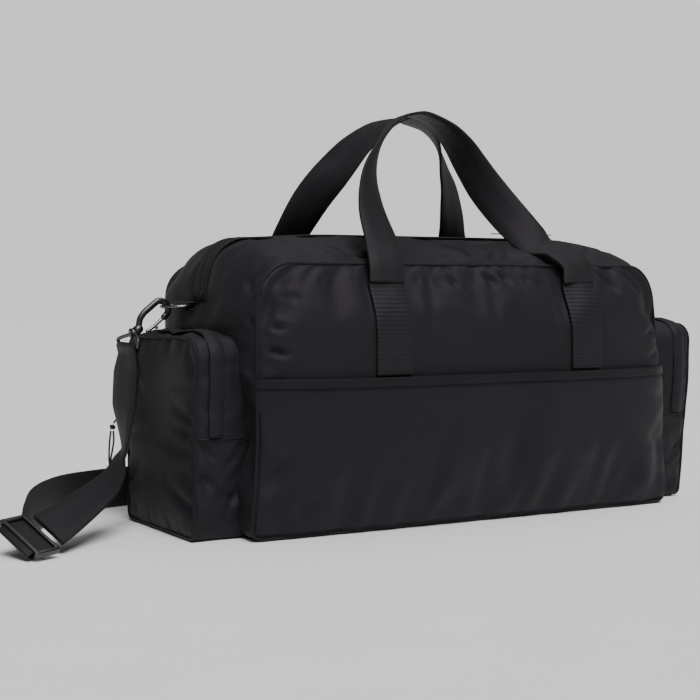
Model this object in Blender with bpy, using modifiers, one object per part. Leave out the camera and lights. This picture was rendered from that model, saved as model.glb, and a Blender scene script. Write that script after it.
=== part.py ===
"""Duffel bag: soft rectangular body with piping, zipped top, end pockets, webbing handles and a
detachable shoulder strap on snap hooks.

Metres, +Z up.  The origin is the middle of the body's footprint on the surface it stands on, X runs
along the bag and -Y is its front.
"""
import math

import bmesh
import bpy
from mathutils import Matrix, Vector

GAP = 0.0003
ENLARGE = 100.0

# Main body
HALF_LENGTH = 0.2555
HALF_DEPTH = 0.1070
FACE_BULGE = 0.0240
SEAM_HEIGHT = 0.2645
CROWN = 0.0305
BODY_CORNER = 0.0365
BASE_CORNER = 0.0120
SKIN = 0.0040
TOP_SKIN = 0.0030
FACE_INSET = 0.0010
PIPING_RADIUS = 0.0025
PIPING_CLEAR = PIPING_RADIUS + 0.0005
GUSSET_HALF = HALF_DEPTH - PIPING_RADIUS - PIPING_CLEAR
BOARD_SIZE = (0.480, 0.190, 0.003)
BOARD_LIFT = SKIN + GAP

# Flat pocket on the front face
POCKET_HEM_HEIGHT = 0.1550
POCKET_FOOT = 0.0060
POCKET_LIFT = 0.0040
POCKET_CLOTH = 0.0020
POCKET_INSET = 0.0010
HEM_DEPTH = 0.0090
HEM_LIFT = 0.0045
HEM_CLOTH = 0.0026

# Main zip along the top and round both shoulders
ZIP_SLOT = 0.0125
ZIP_TAPE_HALF = 0.0118
ZIP_TAPE_THICK = 0.0012
ZIP_TAPE_DROP = 0.0008
TEETH_HALF = 0.0028
TEETH_THICK = 0.0018
TEETH_LIFT = 0.0014
SLIDER_A_X = 0.1250
SLIDER_B_X = 0.1450
SLIDER_BASE = (0.0120, 0.0090, 0.0020)
BRIDGE_WIDTH = 0.0030
PULL_HALF_WIDTH = 0.0035
PULL_LENGTH = 0.0300
PULL_THICK = 0.0010
PULL_LEVEL = 0.0036

# End pockets
END_POCKET_X = 0.3100
END_POCKET_HALF = 0.0810
END_POCKET_HEIGHT = 0.1920
END_POCKET_CORNER = 0.0180
END_POCKET_FOOT = 0.0060
END_POCKET_WALL = 0.0030
END_PIPING_RADIUS = 0.0022
END_ZIP_X = 0.2880
END_ZIP_WIDTH = 0.0120
END_ZIP_LIFT = 0.0015
END_ZIP_LOW = 0.1000
END_SLIDER_Z = 0.1150
END_SLIDER_SIZE = (0.0085, 0.0032, 0.0110)
CORD_RADIUS = 0.0010
KNOT_RADIUS = 0.0035
KNOT_AT = (0.3215, 0.0900, 0.0955)

# Carrying handles
LEG_X = 0.1200
HANDLE_WIDTH = 0.0400
HANDLE_THICK = 0.0030
LEG_TOP = 0.2460
LEG_LIFT = 0.0008
BACK_HANDLE_LEAN = 0.0130
LEAN_HEIGHT = 0.1000
HANDLE_FLAT_SHARE = 0.80
HANDLE_TWIST_POWER = 1.3

# Hardware at each end of the bag
HARDWARE_Y = 0.0200
RING_BAR_X = 0.2745
RING_BAR_Z = 0.2215
RING_BOW_X = 0.2958
RING_BOW_Z = 0.2207
RING_HALF_WIDTH = 0.0185
RING_WIRE = 0.0019
TAB_HALF_WIDTH = 0.0150
TAB_THICK = 0.0018
HOOK_BASE_X = 0.3225
HOOK_BASE_Z = 0.1985
HOOK_HALF_WIDTH = 0.0085
HOOK_WIRE = 0.0025
HOOK_BOW = 0.0310
GATE_WIRE = 0.0017
GATE_PIVOT = (0.0065, -0.0078)
COLLAR_RADIUS = 0.0060
COLLAR_BORE = 0.0024
LOOP_NECK_HALF = 0.0052
LOOP_BAR_X = 0.3285
LOOP_BAR_Y = 0.0300
LOOP_BAR_Z = 0.1815
LOOP_HALF_WIDTH = 0.0265
LOOP_WIRE = 0.0019

# Shoulder strap
STRAP_WIDTH = 0.0450
STRAP_THICK = 0.0018
LAYER_OFFSET = 0.0015
TAIL_GAP = 0.0030
ADJUSTER_AT = Vector((-0.4640, -0.0685, 0.0185))
ADJUSTER_REACH = STRAP_WIDTH / 2 + 0.0032
ADJUSTER_BAR_AT = 0.0114

COLOURS = {
    "nylon": (0.017, 0.017, 0.021, 0.62, 0.0),
    "piping": (0.012, 0.012, 0.014, 0.45, 0.0),
    "webbing": (0.013, 0.013, 0.015, 0.70, 0.0),
    "zip_tape": (0.012, 0.012, 0.014, 0.75, 0.0),
    "zip_teeth": (0.010, 0.010, 0.011, 0.35, 0.0),
    "gunmetal": (0.16, 0.16, 0.17, 0.32, 1.0),
    "board": (0.055, 0.055, 0.060, 0.60, 0.0),
    "cord": (0.014, 0.014, 0.016, 0.65, 0.0),
}


# ---------------------------------------------------------------- scene and materials
def clear_scene():
    for item in list(bpy.data.objects):
        bpy.data.objects.remove(item, do_unlink=True)


def new_collection(name):
    collection = bpy.data.collections.new(name)
    bpy.context.scene.collection.children.link(collection)
    return collection


def new_material(node_name, kind):
    red, green, blue, rough, metal = COLOURS[kind]
    material = bpy.data.materials.new(node_name)
    material.use_nodes = True
    shader = material.node_tree.nodes["Principled BSDF"]
    shader.inputs["Base Color"].default_value = (red, green, blue, 1.0)
    shader.inputs["Roughness"].default_value = rough
    shader.inputs["Metallic"].default_value = metal
    return material


def place(data, name, kind, pivot=(0.0, 0.0, 0.0)):
    """Object in the bag's collection; its origin is moved to the pivot, its shape stays put."""
    item = bpy.data.objects.new(name, data)
    BAG.objects.link(item)
    item.data.materials.append(new_material(name, kind))
    if isinstance(data, bpy.types.Mesh):
        data.transform(Matrix.Translation(-Vector(pivot)))
        item.location = pivot
    return item


# ---------------------------------------------------------------- meshes
def mesh_from(bm, name):
    bmesh.ops.recalc_face_normals(bm, faces=bm.faces)
    data = bpy.data.meshes.new(name)
    bm.to_mesh(data)
    bm.free()
    return data


def box_mesh(centre, size, turn=None):
    bm = bmesh.new()
    bmesh.ops.create_cube(bm, size=1.0)
    bmesh.ops.scale(bm, verts=bm.verts, vec=size)
    spin = turn if turn else Matrix.Identity(4)
    bmesh.ops.transform(bm, matrix=Matrix.Translation(centre) @ spin, verts=bm.verts)
    return mesh_from(bm, "box")


def rod_mesh(start, end, radius, sides=12):
    start, end = Vector(start), Vector(end)
    run = end - start
    bm = bmesh.new()
    bmesh.ops.create_cone(bm, cap_ends=True, segments=sides, radius1=radius, radius2=radius,
                          depth=run.length)
    spin = run.to_track_quat("Z", "Y").to_matrix().to_4x4()
    bmesh.ops.transform(bm, matrix=Matrix.Translation((start + end) / 2) @ spin, verts=bm.verts)
    return mesh_from(bm, "rod")


def sheet_mesh(rows):
    """Open surface through rows of points."""
    bm = bmesh.new()
    grid = [[bm.verts.new(point) for point in row] for row in rows]
    for low, high in zip(grid, grid[1:]):
        for i in range(len(low) - 1):
            bm.faces.new((low[i], low[i + 1], high[i + 1], high[i]))
    return bm


def panel(name, kind, rows, outward, thickness):
    """Surface given by its outer side, thickened inwards; outward is a rough outward direction."""
    bm = sheet_mesh(rows)
    bm.normal_update()
    side = sum((face.normal for face in bm.faces), Vector())
    if side.dot(Vector(outward)) < 0:
        bmesh.ops.reverse_faces(bm, faces=bm.faces)
    data = bpy.data.meshes.new(name)
    bm.to_mesh(data)
    bm.free()
    item = place(data, name, kind)
    thicken(item, thickness, -1.0)
    return item


def thicken(item, thickness, offset):
    solid = item.modifiers.new("Thickness", "SOLIDIFY")
    solid.thickness = thickness
    solid.offset = offset
    solid.use_even_offset = True


def soften(item, width, segments=1):
    bevel = item.modifiers.new("Edges", "BEVEL")
    bevel.width = width
    bevel.segments = segments
    bevel.limit_method = "ANGLE"


def combine(item, other_mesh, operation, solver="EXACT"):
    """Boolean with a hidden operand kept in the cutters collection."""
    other = bpy.data.objects.new(item.name + "_operand", other_mesh)
    CUTTERS.objects.link(other)
    other.hide_render = True
    other.display_type = "WIRE"
    step = item.modifiers.new(operation.title(), "BOOLEAN")
    step.operation = operation
    step.object = other
    step.solver = solver


def tube_curve(points, radius, closed, sides=2):
    curve = bpy.data.curves.new("tube", "CURVE")
    curve.dimensions = "3D"
    curve.bevel_depth = radius
    curve.bevel_resolution = sides
    curve.use_fill_caps = not closed
    spline = curve.splines.new("POLY")
    spline.points.add(len(points) - 1)
    for point, target in zip(points, spline.points):
        target.co = (*point, 1.0)
    spline.use_cyclic_u = closed
    return curve


def tube(name, kind, points, radius, closed=False):
    return place(tube_curve(points, radius, closed), name, kind)


def mesh_of_curve(curve):
    """Closed mesh of a curve, with its loose caps welded."""
    carrier = bpy.data.objects.new("carrier", curve)
    bpy.context.scene.collection.objects.link(carrier)
    graph = bpy.context.evaluated_depsgraph_get()
    data = bpy.data.meshes.new_from_object(carrier.evaluated_get(graph))
    bpy.data.objects.remove(carrier, do_unlink=True)
    bm = bmesh.new()
    bm.from_mesh(data)
    bmesh.ops.remove_doubles(bm, verts=bm.verts, dist=0.00001)
    return mesh_from(bm, "curve_solid")


def slab_mesh(outlines, thickness, turn, centre):
    """Flat plate from outlines (the first is the rim, others are holes), turned and placed.

    It is drawn larger and shrunk again, because filling a very small outline drops corners.
    """
    curve = bpy.data.curves.new("slab", "CURVE")
    curve.dimensions = "2D"
    curve.fill_mode = "BOTH"
    curve.extrude = thickness / 2 * ENLARGE
    for outline in outlines:
        spline = curve.splines.new("POLY")
        spline.points.add(len(outline) - 1)
        for (across, up), target in zip(outline, spline.points):
            target.co = (across * ENLARGE, up * ENLARGE, 0.0, 1.0)
        spline.use_cyclic_u = True
    data = mesh_of_curve(curve)
    data.transform(Matrix.Translation(centre) @ turn @ Matrix.Scale(1 / ENLARGE, 4))
    if turn.determinant() < 0:
        data.flip_normals()
    return data


# ---------------------------------------------------------------- outlines and routes
def arc(centre, radius, start, end, steps):
    """Points on an arc, angles in degrees."""
    angles = [math.radians(start + (end - start) * i / steps) for i in range(steps + 1)]
    return [(centre[0] + radius * math.cos(a), centre[1] + radius * math.sin(a)) for a in angles]


def round_rect(half, low, high, top_corner, low_corner, steps=4):
    """Outline in (across, up), counter-clockwise from the lower right corner."""
    corners = ((half - low_corner, low + low_corner, low_corner, -90),
               (half - top_corner, high - top_corner, top_corner, 0),
               (top_corner - half, high - top_corner, top_corner, 90),
               (low_corner - half, low + low_corner, low_corner, 180))
    points = []
    for across, up, radius, start in corners:
        points += arc((across, up), radius, start, start + 90, steps)
    return points


def smooth_route(points, per_span):
    """Catmull-Rom curve through the given points."""
    points = [Vector(point) for point in points]
    ends = [2 * points[0] - points[1]] + points + [2 * points[-1] - points[-2]]
    route = []
    for a, b, c, d in zip(ends, ends[1:], ends[2:], ends[3:]):
        for i in range(per_span):
            t = i / per_span
            route.append(0.5 * (2 * b + (c - a) * t + (2 * a - 5 * b + 4 * c - d) * t ** 2
                                + (3 * b - a - 3 * c + d) * t ** 3))
    return route + [points[-1]]


def tangents(route):
    ahead = route[1:] + route[-1:]
    behind = route[:1] + route[:-1]
    return [(a - b).normalized() for a, b in zip(ahead, behind)]


def square_to(across, tangent):
    return (across - tangent * across.dot(tangent)).normalized()


def ribbon(name, kind, route, across, width, thickness, pivot=(0.0, 0.0, 0.0)):
    """Flat webbing along a route; across holds the direction of its width at each point."""
    rows = [(point - side * width / 2, point + side * width / 2) for point, side in zip(route, across)]
    bm = sheet_mesh(rows)
    data = bpy.data.meshes.new(name)
    bm.to_mesh(data)
    bm.free()
    item = place(data, name, kind, pivot)
    thicken(item, thickness, 0.0)
    return item


# ---------------------------------------------------------------- body panels
def face_bulge(x, z):
    """How far a big face stands out at a point of its outline."""
    middle = SEAM_HEIGHT / 2
    along = 1 - abs(x / HALF_LENGTH) ** 4
    upright = 1 - abs((z - middle) / middle) ** 4
    return FACE_BULGE * max(along, 0.0) * max(upright, 0.0)


def face_half(z, half, high, low):
    """Half width of a big face at height z, inside its rounded corners."""
    top, base = BODY_CORNER - PIPING_CLEAR, BASE_CORNER - PIPING_CLEAR
    if z > high - top:
        return half - top + math.sqrt(max(top ** 2 - (z - high + top) ** 2, 0.0))
    if z < low + base:
        return half - base + math.sqrt(max(base ** 2 - (low + base - z) ** 2, 0.0))
    return half


def face_panel(name, kind, side, heights, lift, thickness, span=None, columns=12):
    """Piece of a big face; side is -1 for the front, lift stands it off the face."""
    half, low, high = HALF_LENGTH - PIPING_CLEAR, 2 * PIPING_CLEAR, SEAM_HEIGHT - PIPING_CLEAR
    rows = []
    for z in heights:
        reach = face_half(z, half, high, low)
        left, right = span if span else (-reach, reach)
        xs = [left + (right - left) * i / columns for i in range(columns + 1)]
        rows.append([(x, side * (HALF_DEPTH - FACE_INSET + lift + face_bulge(x, z)), z) for x in xs])
    return panel(name, kind, rows, (0, side, 0), thickness)


def steps_between(low, high, count):
    return [low + (high - low) * i / count for i in range(count + 1)]


def build_faces():
    low, high = 2 * PIPING_CLEAR, SEAM_HEIGHT - PIPING_CLEAR
    shoulder = high - (BODY_CORNER - PIPING_CLEAR)
    heights = steps_between(low, low + BASE_CORNER - PIPING_CLEAR, 2)
    heights += steps_between(low + 0.03, shoulder, 6)
    heights += [shoulder + (high - shoulder) * math.sin(math.radians(a)) for a in (25, 50, 72, 90)]
    for side, face in ((-1, "front"), (1, "back")):
        face_panel(f"{face}_panel", "nylon", side, heights, 0.0, SKIN)
        outline = round_rect(HALF_LENGTH, PIPING_RADIUS + GAP, SEAM_HEIGHT, BODY_CORNER, BASE_CORNER)
        y = side * (HALF_DEPTH - PIPING_RADIUS)
        tube(f"{face}_piping", "piping", [(x, y, z) for x, z in outline], PIPING_RADIUS, True)
    body = steps_between(low + POCKET_FOOT, POCKET_HEM_HEIGHT - HEM_DEPTH - GAP, 6)
    reach = HALF_LENGTH - PIPING_CLEAR - POCKET_INSET
    face_panel("front_pocket_panel", "nylon", -1, body, POCKET_LIFT, POCKET_CLOTH, (-reach, reach))
    hem = [POCKET_HEM_HEIGHT - HEM_DEPTH, POCKET_HEM_HEIGHT]
    face_panel("front_pocket_hem", "webbing", -1, hem, HEM_LIFT, HEM_CLOTH, (-reach, reach))


def crown(y):
    return CROWN * (1 - (y / HALF_DEPTH) ** 2)


def band_profile(lift):
    """Top band seen from the front, as (x, z, share of the crown): shoulder, top, shoulder."""
    radius = BODY_CORNER + lift
    centre = (HALF_LENGTH - BODY_CORNER, SEAM_HEIGHT - BODY_CORNER)
    right = arc(centre, radius, 0, 90, 5)
    share = [math.sin(math.pi / 2 * i / 5) for i in range(6)]
    right = [(x, z, s) for (x, z), s in zip(right, share)]
    middle = [(x, SEAM_HEIGHT + lift, 1.0) for x in (0.11, 0.0, -0.11)]
    return right + middle + [(-x, z, s) for x, z, s in reversed(right)]


def top_band(name, kind, ys, lift, thickness):
    rows = [[(x, y, z + s * crown(y)) for x, z, s in band_profile(lift)] for y in ys]
    return panel(name, kind, rows, (0, 0, 1), thickness)


def build_gusset():
    base_size = (2 * HALF_LENGTH - BASE_CORNER, 2 * GUSSET_HALF, SKIN)
    bottom = place(box_mesh((0, 0, SKIN / 2), base_size), "bottom_panel", "nylon")
    soften(bottom, 0.0010)
    place(box_mesh((0, 0, BOARD_LIFT + BOARD_SIZE[2] / 2), BOARD_SIZE), "base_board", "board")
    for side, end in ((-1, "left"), (1, "right")):
        low, high = SKIN + GAP, SEAM_HEIGHT - BODY_CORNER - PIPING_RADIUS
        centre = (side * (HALF_LENGTH - SKIN / 2), 0, (low + high) / 2)
        wall = box_mesh(centre, (SKIN, 2 * GUSSET_HALF, high - low))
        place(wall, f"end_panel_{end}", "nylon")
    for side, half in ((-1, "front"), (1, "back")):
        ys = [side * y for y in steps_between(ZIP_SLOT, GUSSET_HALF, 6)]
        top_band(f"top_panel_{half}", "nylon", ys, 0.0, TOP_SKIN)
    tape = steps_between(-ZIP_TAPE_HALF, ZIP_TAPE_HALF, 2)
    top_band("main_zipper_tape", "zip_tape", tape, -ZIP_TAPE_DROP, ZIP_TAPE_THICK)
    top_band("main_zipper_teeth", "zip_teeth", (-TEETH_HALF, TEETH_HALF), TEETH_LIFT, TEETH_THICK)


# ---------------------------------------------------------------- end pockets
def build_end_pocket(side, end):
    turn = Matrix(((0, 0, side, 0), (1, 0, 0, 0), (0, 1, 0, 0), (0, 0, 0, 1)))
    low = PIPING_RADIUS + GAP
    wall = END_POCKET_WALL
    depth_in = HALF_LENGTH + 2 * GAP
    depth_out = END_POCKET_X - 2 * END_PIPING_RADIUS - 0.0014
    outer = round_rect(END_POCKET_HALF, GAP, END_POCKET_HEIGHT, END_POCKET_CORNER, END_POCKET_FOOT)
    inner = round_rect(END_POCKET_HALF - wall, GAP + wall, END_POCKET_HEIGHT - wall,
                       END_POCKET_CORNER - wall, END_POCKET_FOOT - wall)
    gusset = slab_mesh((outer, inner), depth_out - depth_in, turn,
                       (side * (depth_in + depth_out) / 2, 0, 0))
    place(gusset, f"end_pocket_gusset_{end}", "nylon")
    piping_x = side * (END_POCKET_X - 0.0026)
    rim = round_rect(END_POCKET_HALF, low, END_POCKET_HEIGHT, END_POCKET_CORNER, END_POCKET_FOOT)
    tube(f"end_pocket_piping_{end}", "piping", [(piping_x, y, z) for y, z in rim],
         END_PIPING_RADIUS, True)
    inset = END_PIPING_RADIUS + 0.0005
    face = round_rect(END_POCKET_HALF - inset, low + inset, END_POCKET_HEIGHT - inset,
                      END_POCKET_CORNER - inset, END_POCKET_FOOT - inset)
    plate = slab_mesh((face,), wall, turn, (side * (END_POCKET_X - wall / 2), 0, 0))
    place(plate, f"end_pocket_face_{end}", "nylon")
    centre = (END_POCKET_HALF - END_POCKET_CORNER, END_POCKET_HEIGHT - END_POCKET_CORNER)
    band = []
    for grow, flip in ((END_ZIP_LIFT, 1), (GAP, -1)):
        right = arc(centre, END_POCKET_CORNER + grow, 0, 90, 5)
        side_run = [(END_POCKET_HALF + grow, END_ZIP_LOW)] + right
        run = side_run + [(-y, z) for y, z in reversed(side_run)]
        band += run[::flip]
    zipper = slab_mesh((band,), END_ZIP_WIDTH, turn, (side * END_ZIP_X, 0, 0))
    place(zipper, f"end_pocket_zipper_{end}", "zip_tape")
    build_pocket_slider(side, end)


def build_pocket_slider(side, end):
    """Slider on the rear run of the pocket zip, with its knotted cord pull."""
    y = END_POCKET_HALF + END_ZIP_LIFT + GAP
    centre = (side * END_ZIP_X, y + END_SLIDER_SIZE[1] / 2, END_SLIDER_Z)
    slider = place(box_mesh(centre, END_SLIDER_SIZE), f"end_pocket_slider_{end}", "gunmetal",
                   (side * END_ZIP_X, y, END_SLIDER_Z))
    soften(slider, 0.0008)
    eye = Vector((side * (END_ZIP_X + 0.0047), y + 0.0030, END_SLIDER_Z - 0.0030))
    knot = Vector((side * KNOT_AT[0], KNOT_AT[1], KNOT_AT[2]))
    lead = [eye, eye + Vector((side * 0.010, 0.002, -0.001)), knot + Vector((-side * 0.006, 0, 0.0085)),
            knot + Vector((-side * 0.0010, 0, 0.0040))]
    tube(f"end_pocket_cord_{end}", "cord", smooth_route(lead, 4), CORD_RADIUS)
    loop = [knot + Vector((-side * 0.0010, 0, -0.0040)), knot + Vector((-side * 0.0020, 0.002, -0.016)),
            knot + Vector((side * 0.0005, 0.003, -0.032)), knot + Vector((side * 0.0025, 0.001, -0.0395)),
            knot + Vector((side * 0.0050, -0.003, -0.032)), knot + Vector((side * 0.0045, -0.003, -0.016)),
            knot + Vector((side * 0.0018, 0, -0.0040))]
    tube(f"end_pocket_cord_loop_{end}", "cord", smooth_route(loop, 4), CORD_RADIUS)
    bead = bmesh.new()
    bmesh.ops.create_uvsphere(bead, u_segments=12, v_segments=8, radius=KNOT_RADIUS)
    bmesh.ops.translate(bead, verts=bead.verts, vec=knot)
    place(mesh_from(bead, "knot"), f"end_pocket_knot_{end}", "cord")


# ---------------------------------------------------------------- main zip sliders
def build_main_slider(letter, x, away):
    """Slider and pull tab; away is the direction along X that the pull tab lies in."""
    top = SEAM_HEIGHT + CROWN + TEETH_LIFT
    stand = Matrix(((away, 0, 0, 0), (0, 0, -1, 0), (0, 1, 0, 0), (0, 0, 0, 1)))
    rim = [(-0.0055, 0.0008), (0.0055, 0.0008), (0.0054, 0.0026), (0.0048, 0.0046), (0.0030, 0.0058),
           (-0.0030, 0.0058), (-0.0048, 0.0046), (-0.0054, 0.0026)]
    hole = [(-0.0030, 0.0026), (0.0036, 0.0026), (0.0028, 0.0046), (-0.0022, 0.0046)]
    bridge = slab_mesh((rim, hole), BRIDGE_WIDTH, stand, (x, 0, top + GAP))
    slider = place(bridge, f"main_zip_slider_{letter}", "gunmetal")
    base = box_mesh((x, 0, top + GAP + SLIDER_BASE[2] / 2), SLIDER_BASE)
    combine(slider, base, "UNION", "MANIFOLD")
    lie = Matrix(((away, 0, 0, 0), (0, away, 0, 0), (0, 0, 1, 0), (0, 0, 0, 1)))
    tab = round_rect(PULL_HALF_WIDTH, -0.0008, PULL_LENGTH, 0.0030, 0.0015, 3)
    eye = round_rect(0.0021, 0.0004, 0.0058, 0.0010, 0.0010, 2)
    outline = [(up, across) for across, up in tab]
    cut = [(up, across) for across, up in eye]
    level = top + GAP + PULL_LEVEL
    plate = slab_mesh((outline, cut), PULL_THICK, lie, (x + away * 0.0016, 0, level))
    place(plate, f"main_zip_pull_{letter}", "gunmetal", (x + away * 0.0014, 0, level))


# ---------------------------------------------------------------- handles
def build_handle(side, face, lean):
    """Loop of webbing over the top; the legs below it are sewn to the face."""
    heights = steps_between(POCKET_HEM_HEIGHT + 0.0015, LEG_TOP - GAP, 5)
    for x, end in ((-LEG_X, "left"), (LEG_X, "right")):
        half = HANDLE_WIDTH / 2
        face_panel(f"handle_leg_{face}_{end}", "webbing", side, heights, HANDLE_THICK + LEG_LIFT,
                   HANDLE_THICK, (x - half, x + half), 4)
    foot_y = HALF_DEPTH + face_bulge(LEG_X, LEG_TOP) + HANDLE_THICK / 2 + LEG_LIFT
    foot_z = LEG_TOP + 0.0010
    left = [(-LEG_X, foot_y, foot_z), (-LEG_X + 0.0005, foot_y - 0.0020, 0.264),
            (-0.1168, 0.1070, 0.2820), (-0.1150, 0.0860, 0.3130), (-0.1085, 0.0700, 0.3390),
            (-0.0940, 0.0520, 0.3656), (-0.0745, 0.0370, 0.3930), (-0.0499, 0.0255, 0.4145)]
    crest = [(-0.0260, 0.0225, 0.4235)]
    right = [(-0.0082, 0.0225, 0.4205), (0.0105, 0.0240, 0.4110), (0.0262, 0.0290, 0.3934),
             (0.0398, 0.0370, 0.3690), (0.0528, 0.0460, 0.3456), (0.0720, 0.0630, 0.3150),
             (0.0906, 0.0830, 0.2890), (0.1070, 0.1020, 0.2790), (0.1185, foot_y - 0.0036, 0.2650),
             (LEG_X, foot_y, foot_z)]
    points = []
    for x, y, z in left + crest + right:
        rise = min(1.0, (z - foot_z) / LEAN_HEIGHT)
        shift = lean * rise ** 2 * (3 - 2 * rise)
        points.append((x + shift, side * y, z))
    route = smooth_route(points, 3)
    turns = [abs(2 * i / (len(route) - 1) - 1) for i in range(len(route))]
    across = []
    for i, turn in enumerate(turns):
        angle = math.radians(90 * min(1.0, turn / HANDLE_FLAT_SHARE) ** HANDLE_TWIST_POWER)
        hand = 1 if i < len(turns) / 2 else -1
        across.append(Vector((hand * math.sin(angle), -side * math.cos(angle), 0)))
    across = [square_to(way, tangent) for way, tangent in zip(across, tangents(route))]
    pivot = (0, side * (foot_y + 0.0018), LEG_TOP)
    ribbon(f"handle_{face}", "webbing", route, across, HANDLE_WIDTH, HANDLE_THICK, pivot)


# ---------------------------------------------------------------- end hardware
def build_ring(side, end):
    """Sewn webbing tab and the D-ring whose straight bar it holds."""
    turn = Matrix(((side, 0, 0, 0), (0, 0, 1, 0), (0, 1, 0, 0), (0, 0, 0, 1)))
    bore = RING_WIRE + 0.0004
    wrap = bore + TAB_THICK
    nose = arc((RING_BAR_X, RING_BAR_Z), wrap, 100, -100, 8)
    root = HALF_LENGTH + GAP
    tab = nose + [(root, RING_BAR_Z - 0.0034), (root, RING_BAR_Z + 0.0034)]
    hole = arc((RING_BAR_X, RING_BAR_Z), bore, 0, 330, 11)
    plate = slab_mesh((tab, hole), 2 * TAB_HALF_WIDTH, turn, (0, HARDWARE_Y, 0))
    place(plate, f"d_ring_tab_{end}", "webbing")
    depth = RING_BOW_X - RING_BAR_X
    drop = RING_BOW_Z - RING_BAR_Z
    outline = [(0.0, -RING_HALF_WIDTH)]
    outline += [(depth * math.cos(a), RING_HALF_WIDTH * math.sin(a))
                for a in (math.radians(d) for d in range(-72, 73, 16))]
    outline += [(0.0, RING_HALF_WIDTH)]
    points = [(side * (RING_BAR_X + out), HARDWARE_Y + across, RING_BAR_Z + drop * out / depth)
              for out, across in outline]
    ring = mesh_of_curve(tube_curve(points, RING_WIRE, True))
    place(ring, f"d_ring_{end}", "gunmetal", (side * RING_BAR_X, HARDWARE_Y, RING_BAR_Z))


def hook_point(side, along, above, offset=0.0):
    """Point in the hook's plane: along its shank towards the ring, and above the shank."""
    run = Vector((RING_BOW_X - HOOK_BASE_X, RING_BOW_Z - HOOK_BASE_Z)).normalized()
    x = HOOK_BASE_X + run.x * along + run.y * above
    z = HOOK_BASE_Z + run.y * along - run.x * above
    return Vector((side * x, HARDWARE_Y + offset, z))


def build_hook(side, end):
    """Snap hook, its sprung gate and the swivelling loop that holds the strap."""
    half = HOOK_HALF_WIDTH
    arm = [(0.0, 0.0), (0.004, 0.0030), (0.009, 0.0068), (0.016, half), (0.024, half)]
    arm += [(HOOK_BOW + half * math.sin(a), half * math.cos(a)) for a in
            (math.radians(d) for d in (12, 36, 60, 84, 108, 132, 156))]
    arm += [(0.0290, -half)]
    points = [hook_point(side, a, b) for a, b in arm]
    hook = place(mesh_of_curve(tube_curve(points, HOOK_WIRE, False)), f"snap_hook_{end}", "gunmetal",
                 hook_point(side, 0, 0))
    for start, stop, radius in ((-0.0035, 0.0040, 0.0046), (-0.0095, -0.0030, 0.0019),
                                (-0.0105, -0.0085, 0.0034)):
        combine(hook, rod_mesh(hook_point(side, start, 0), hook_point(side, stop, 0), radius), "UNION")
    gate = [(0.0255, -half), (0.0150, -half), GATE_PIVOT]
    gate_mesh = mesh_of_curve(tube_curve([hook_point(side, a, b) for a, b in gate], GATE_WIRE, False))
    place(gate_mesh, f"hook_gate_{end}", "gunmetal", hook_point(side, *GATE_PIVOT))
    build_loop(side, end)


def build_loop(side, end):
    """Triangular wire loop with a collar that turns on the hook's shank."""
    neck = hook_point(side, -0.0060, 0)
    bar = Vector((side * LOOP_BAR_X, LOOP_BAR_Y, LOOP_BAR_Z))
    left = bar - Vector((0, LOOP_HALF_WIDTH - 0.002, 0))
    right = bar + Vector((0, LOOP_HALF_WIDTH - 0.002, 0))
    drop = Vector((0, 0, 0.0042))
    points = [neck + Vector((0, -LOOP_NECK_HALF, -0.0006)), left + drop * 1.2, left, right,
              right + drop * 1.2, neck + Vector((0, LOOP_NECK_HALF, -0.0006))]
    wire = mesh_of_curve(tube_curve(points, LOOP_WIRE, False))
    loop = place(wire, f"strap_loop_{end}", "gunmetal")
    collar = rod_mesh(hook_point(side, -0.0078, 0), hook_point(side, -0.0042, 0), COLLAR_RADIUS, 16)
    combine(loop, collar, "UNION")
    bore = rod_mesh(hook_point(side, -0.0120, 0), hook_point(side, 0.0, 0), COLLAR_BORE)
    combine(loop, bore, "DIFFERENCE")


# ---------------------------------------------------------------- shoulder strap
def blend_directions(keys, count):
    """Unit directions at count stations, straight between keys of (share, direction)."""
    result = []
    for i in range(count):
        share = i / (count - 1)
        for (s0, d0), (s1, d1) in zip(keys, keys[1:]):
            if share <= s1:
                t = (share - s0) / (s1 - s0)
                result.append((Vector(d0).lerp(Vector(d1), t)).normalized())
                break
    return result


def layer(route, across, offset):
    """Route moved sideways out of the webbing's own plane."""
    moved = []
    for point, tangent, side in zip(route, tangents(route), across):
        moved.append(point + square_to(side, tangent).cross(tangent) * offset)
    return moved


def wrap_round(bar, start, end, steps=4):
    """Fold of webbing round a bar that runs along Y, angles in degrees in the XZ plane."""
    points = arc((bar.x, bar.z), LOOP_WIRE + GAP + STRAP_THICK / 2, start, end, steps)
    return [Vector((x, bar.y, z)) for x, z in points]


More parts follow.
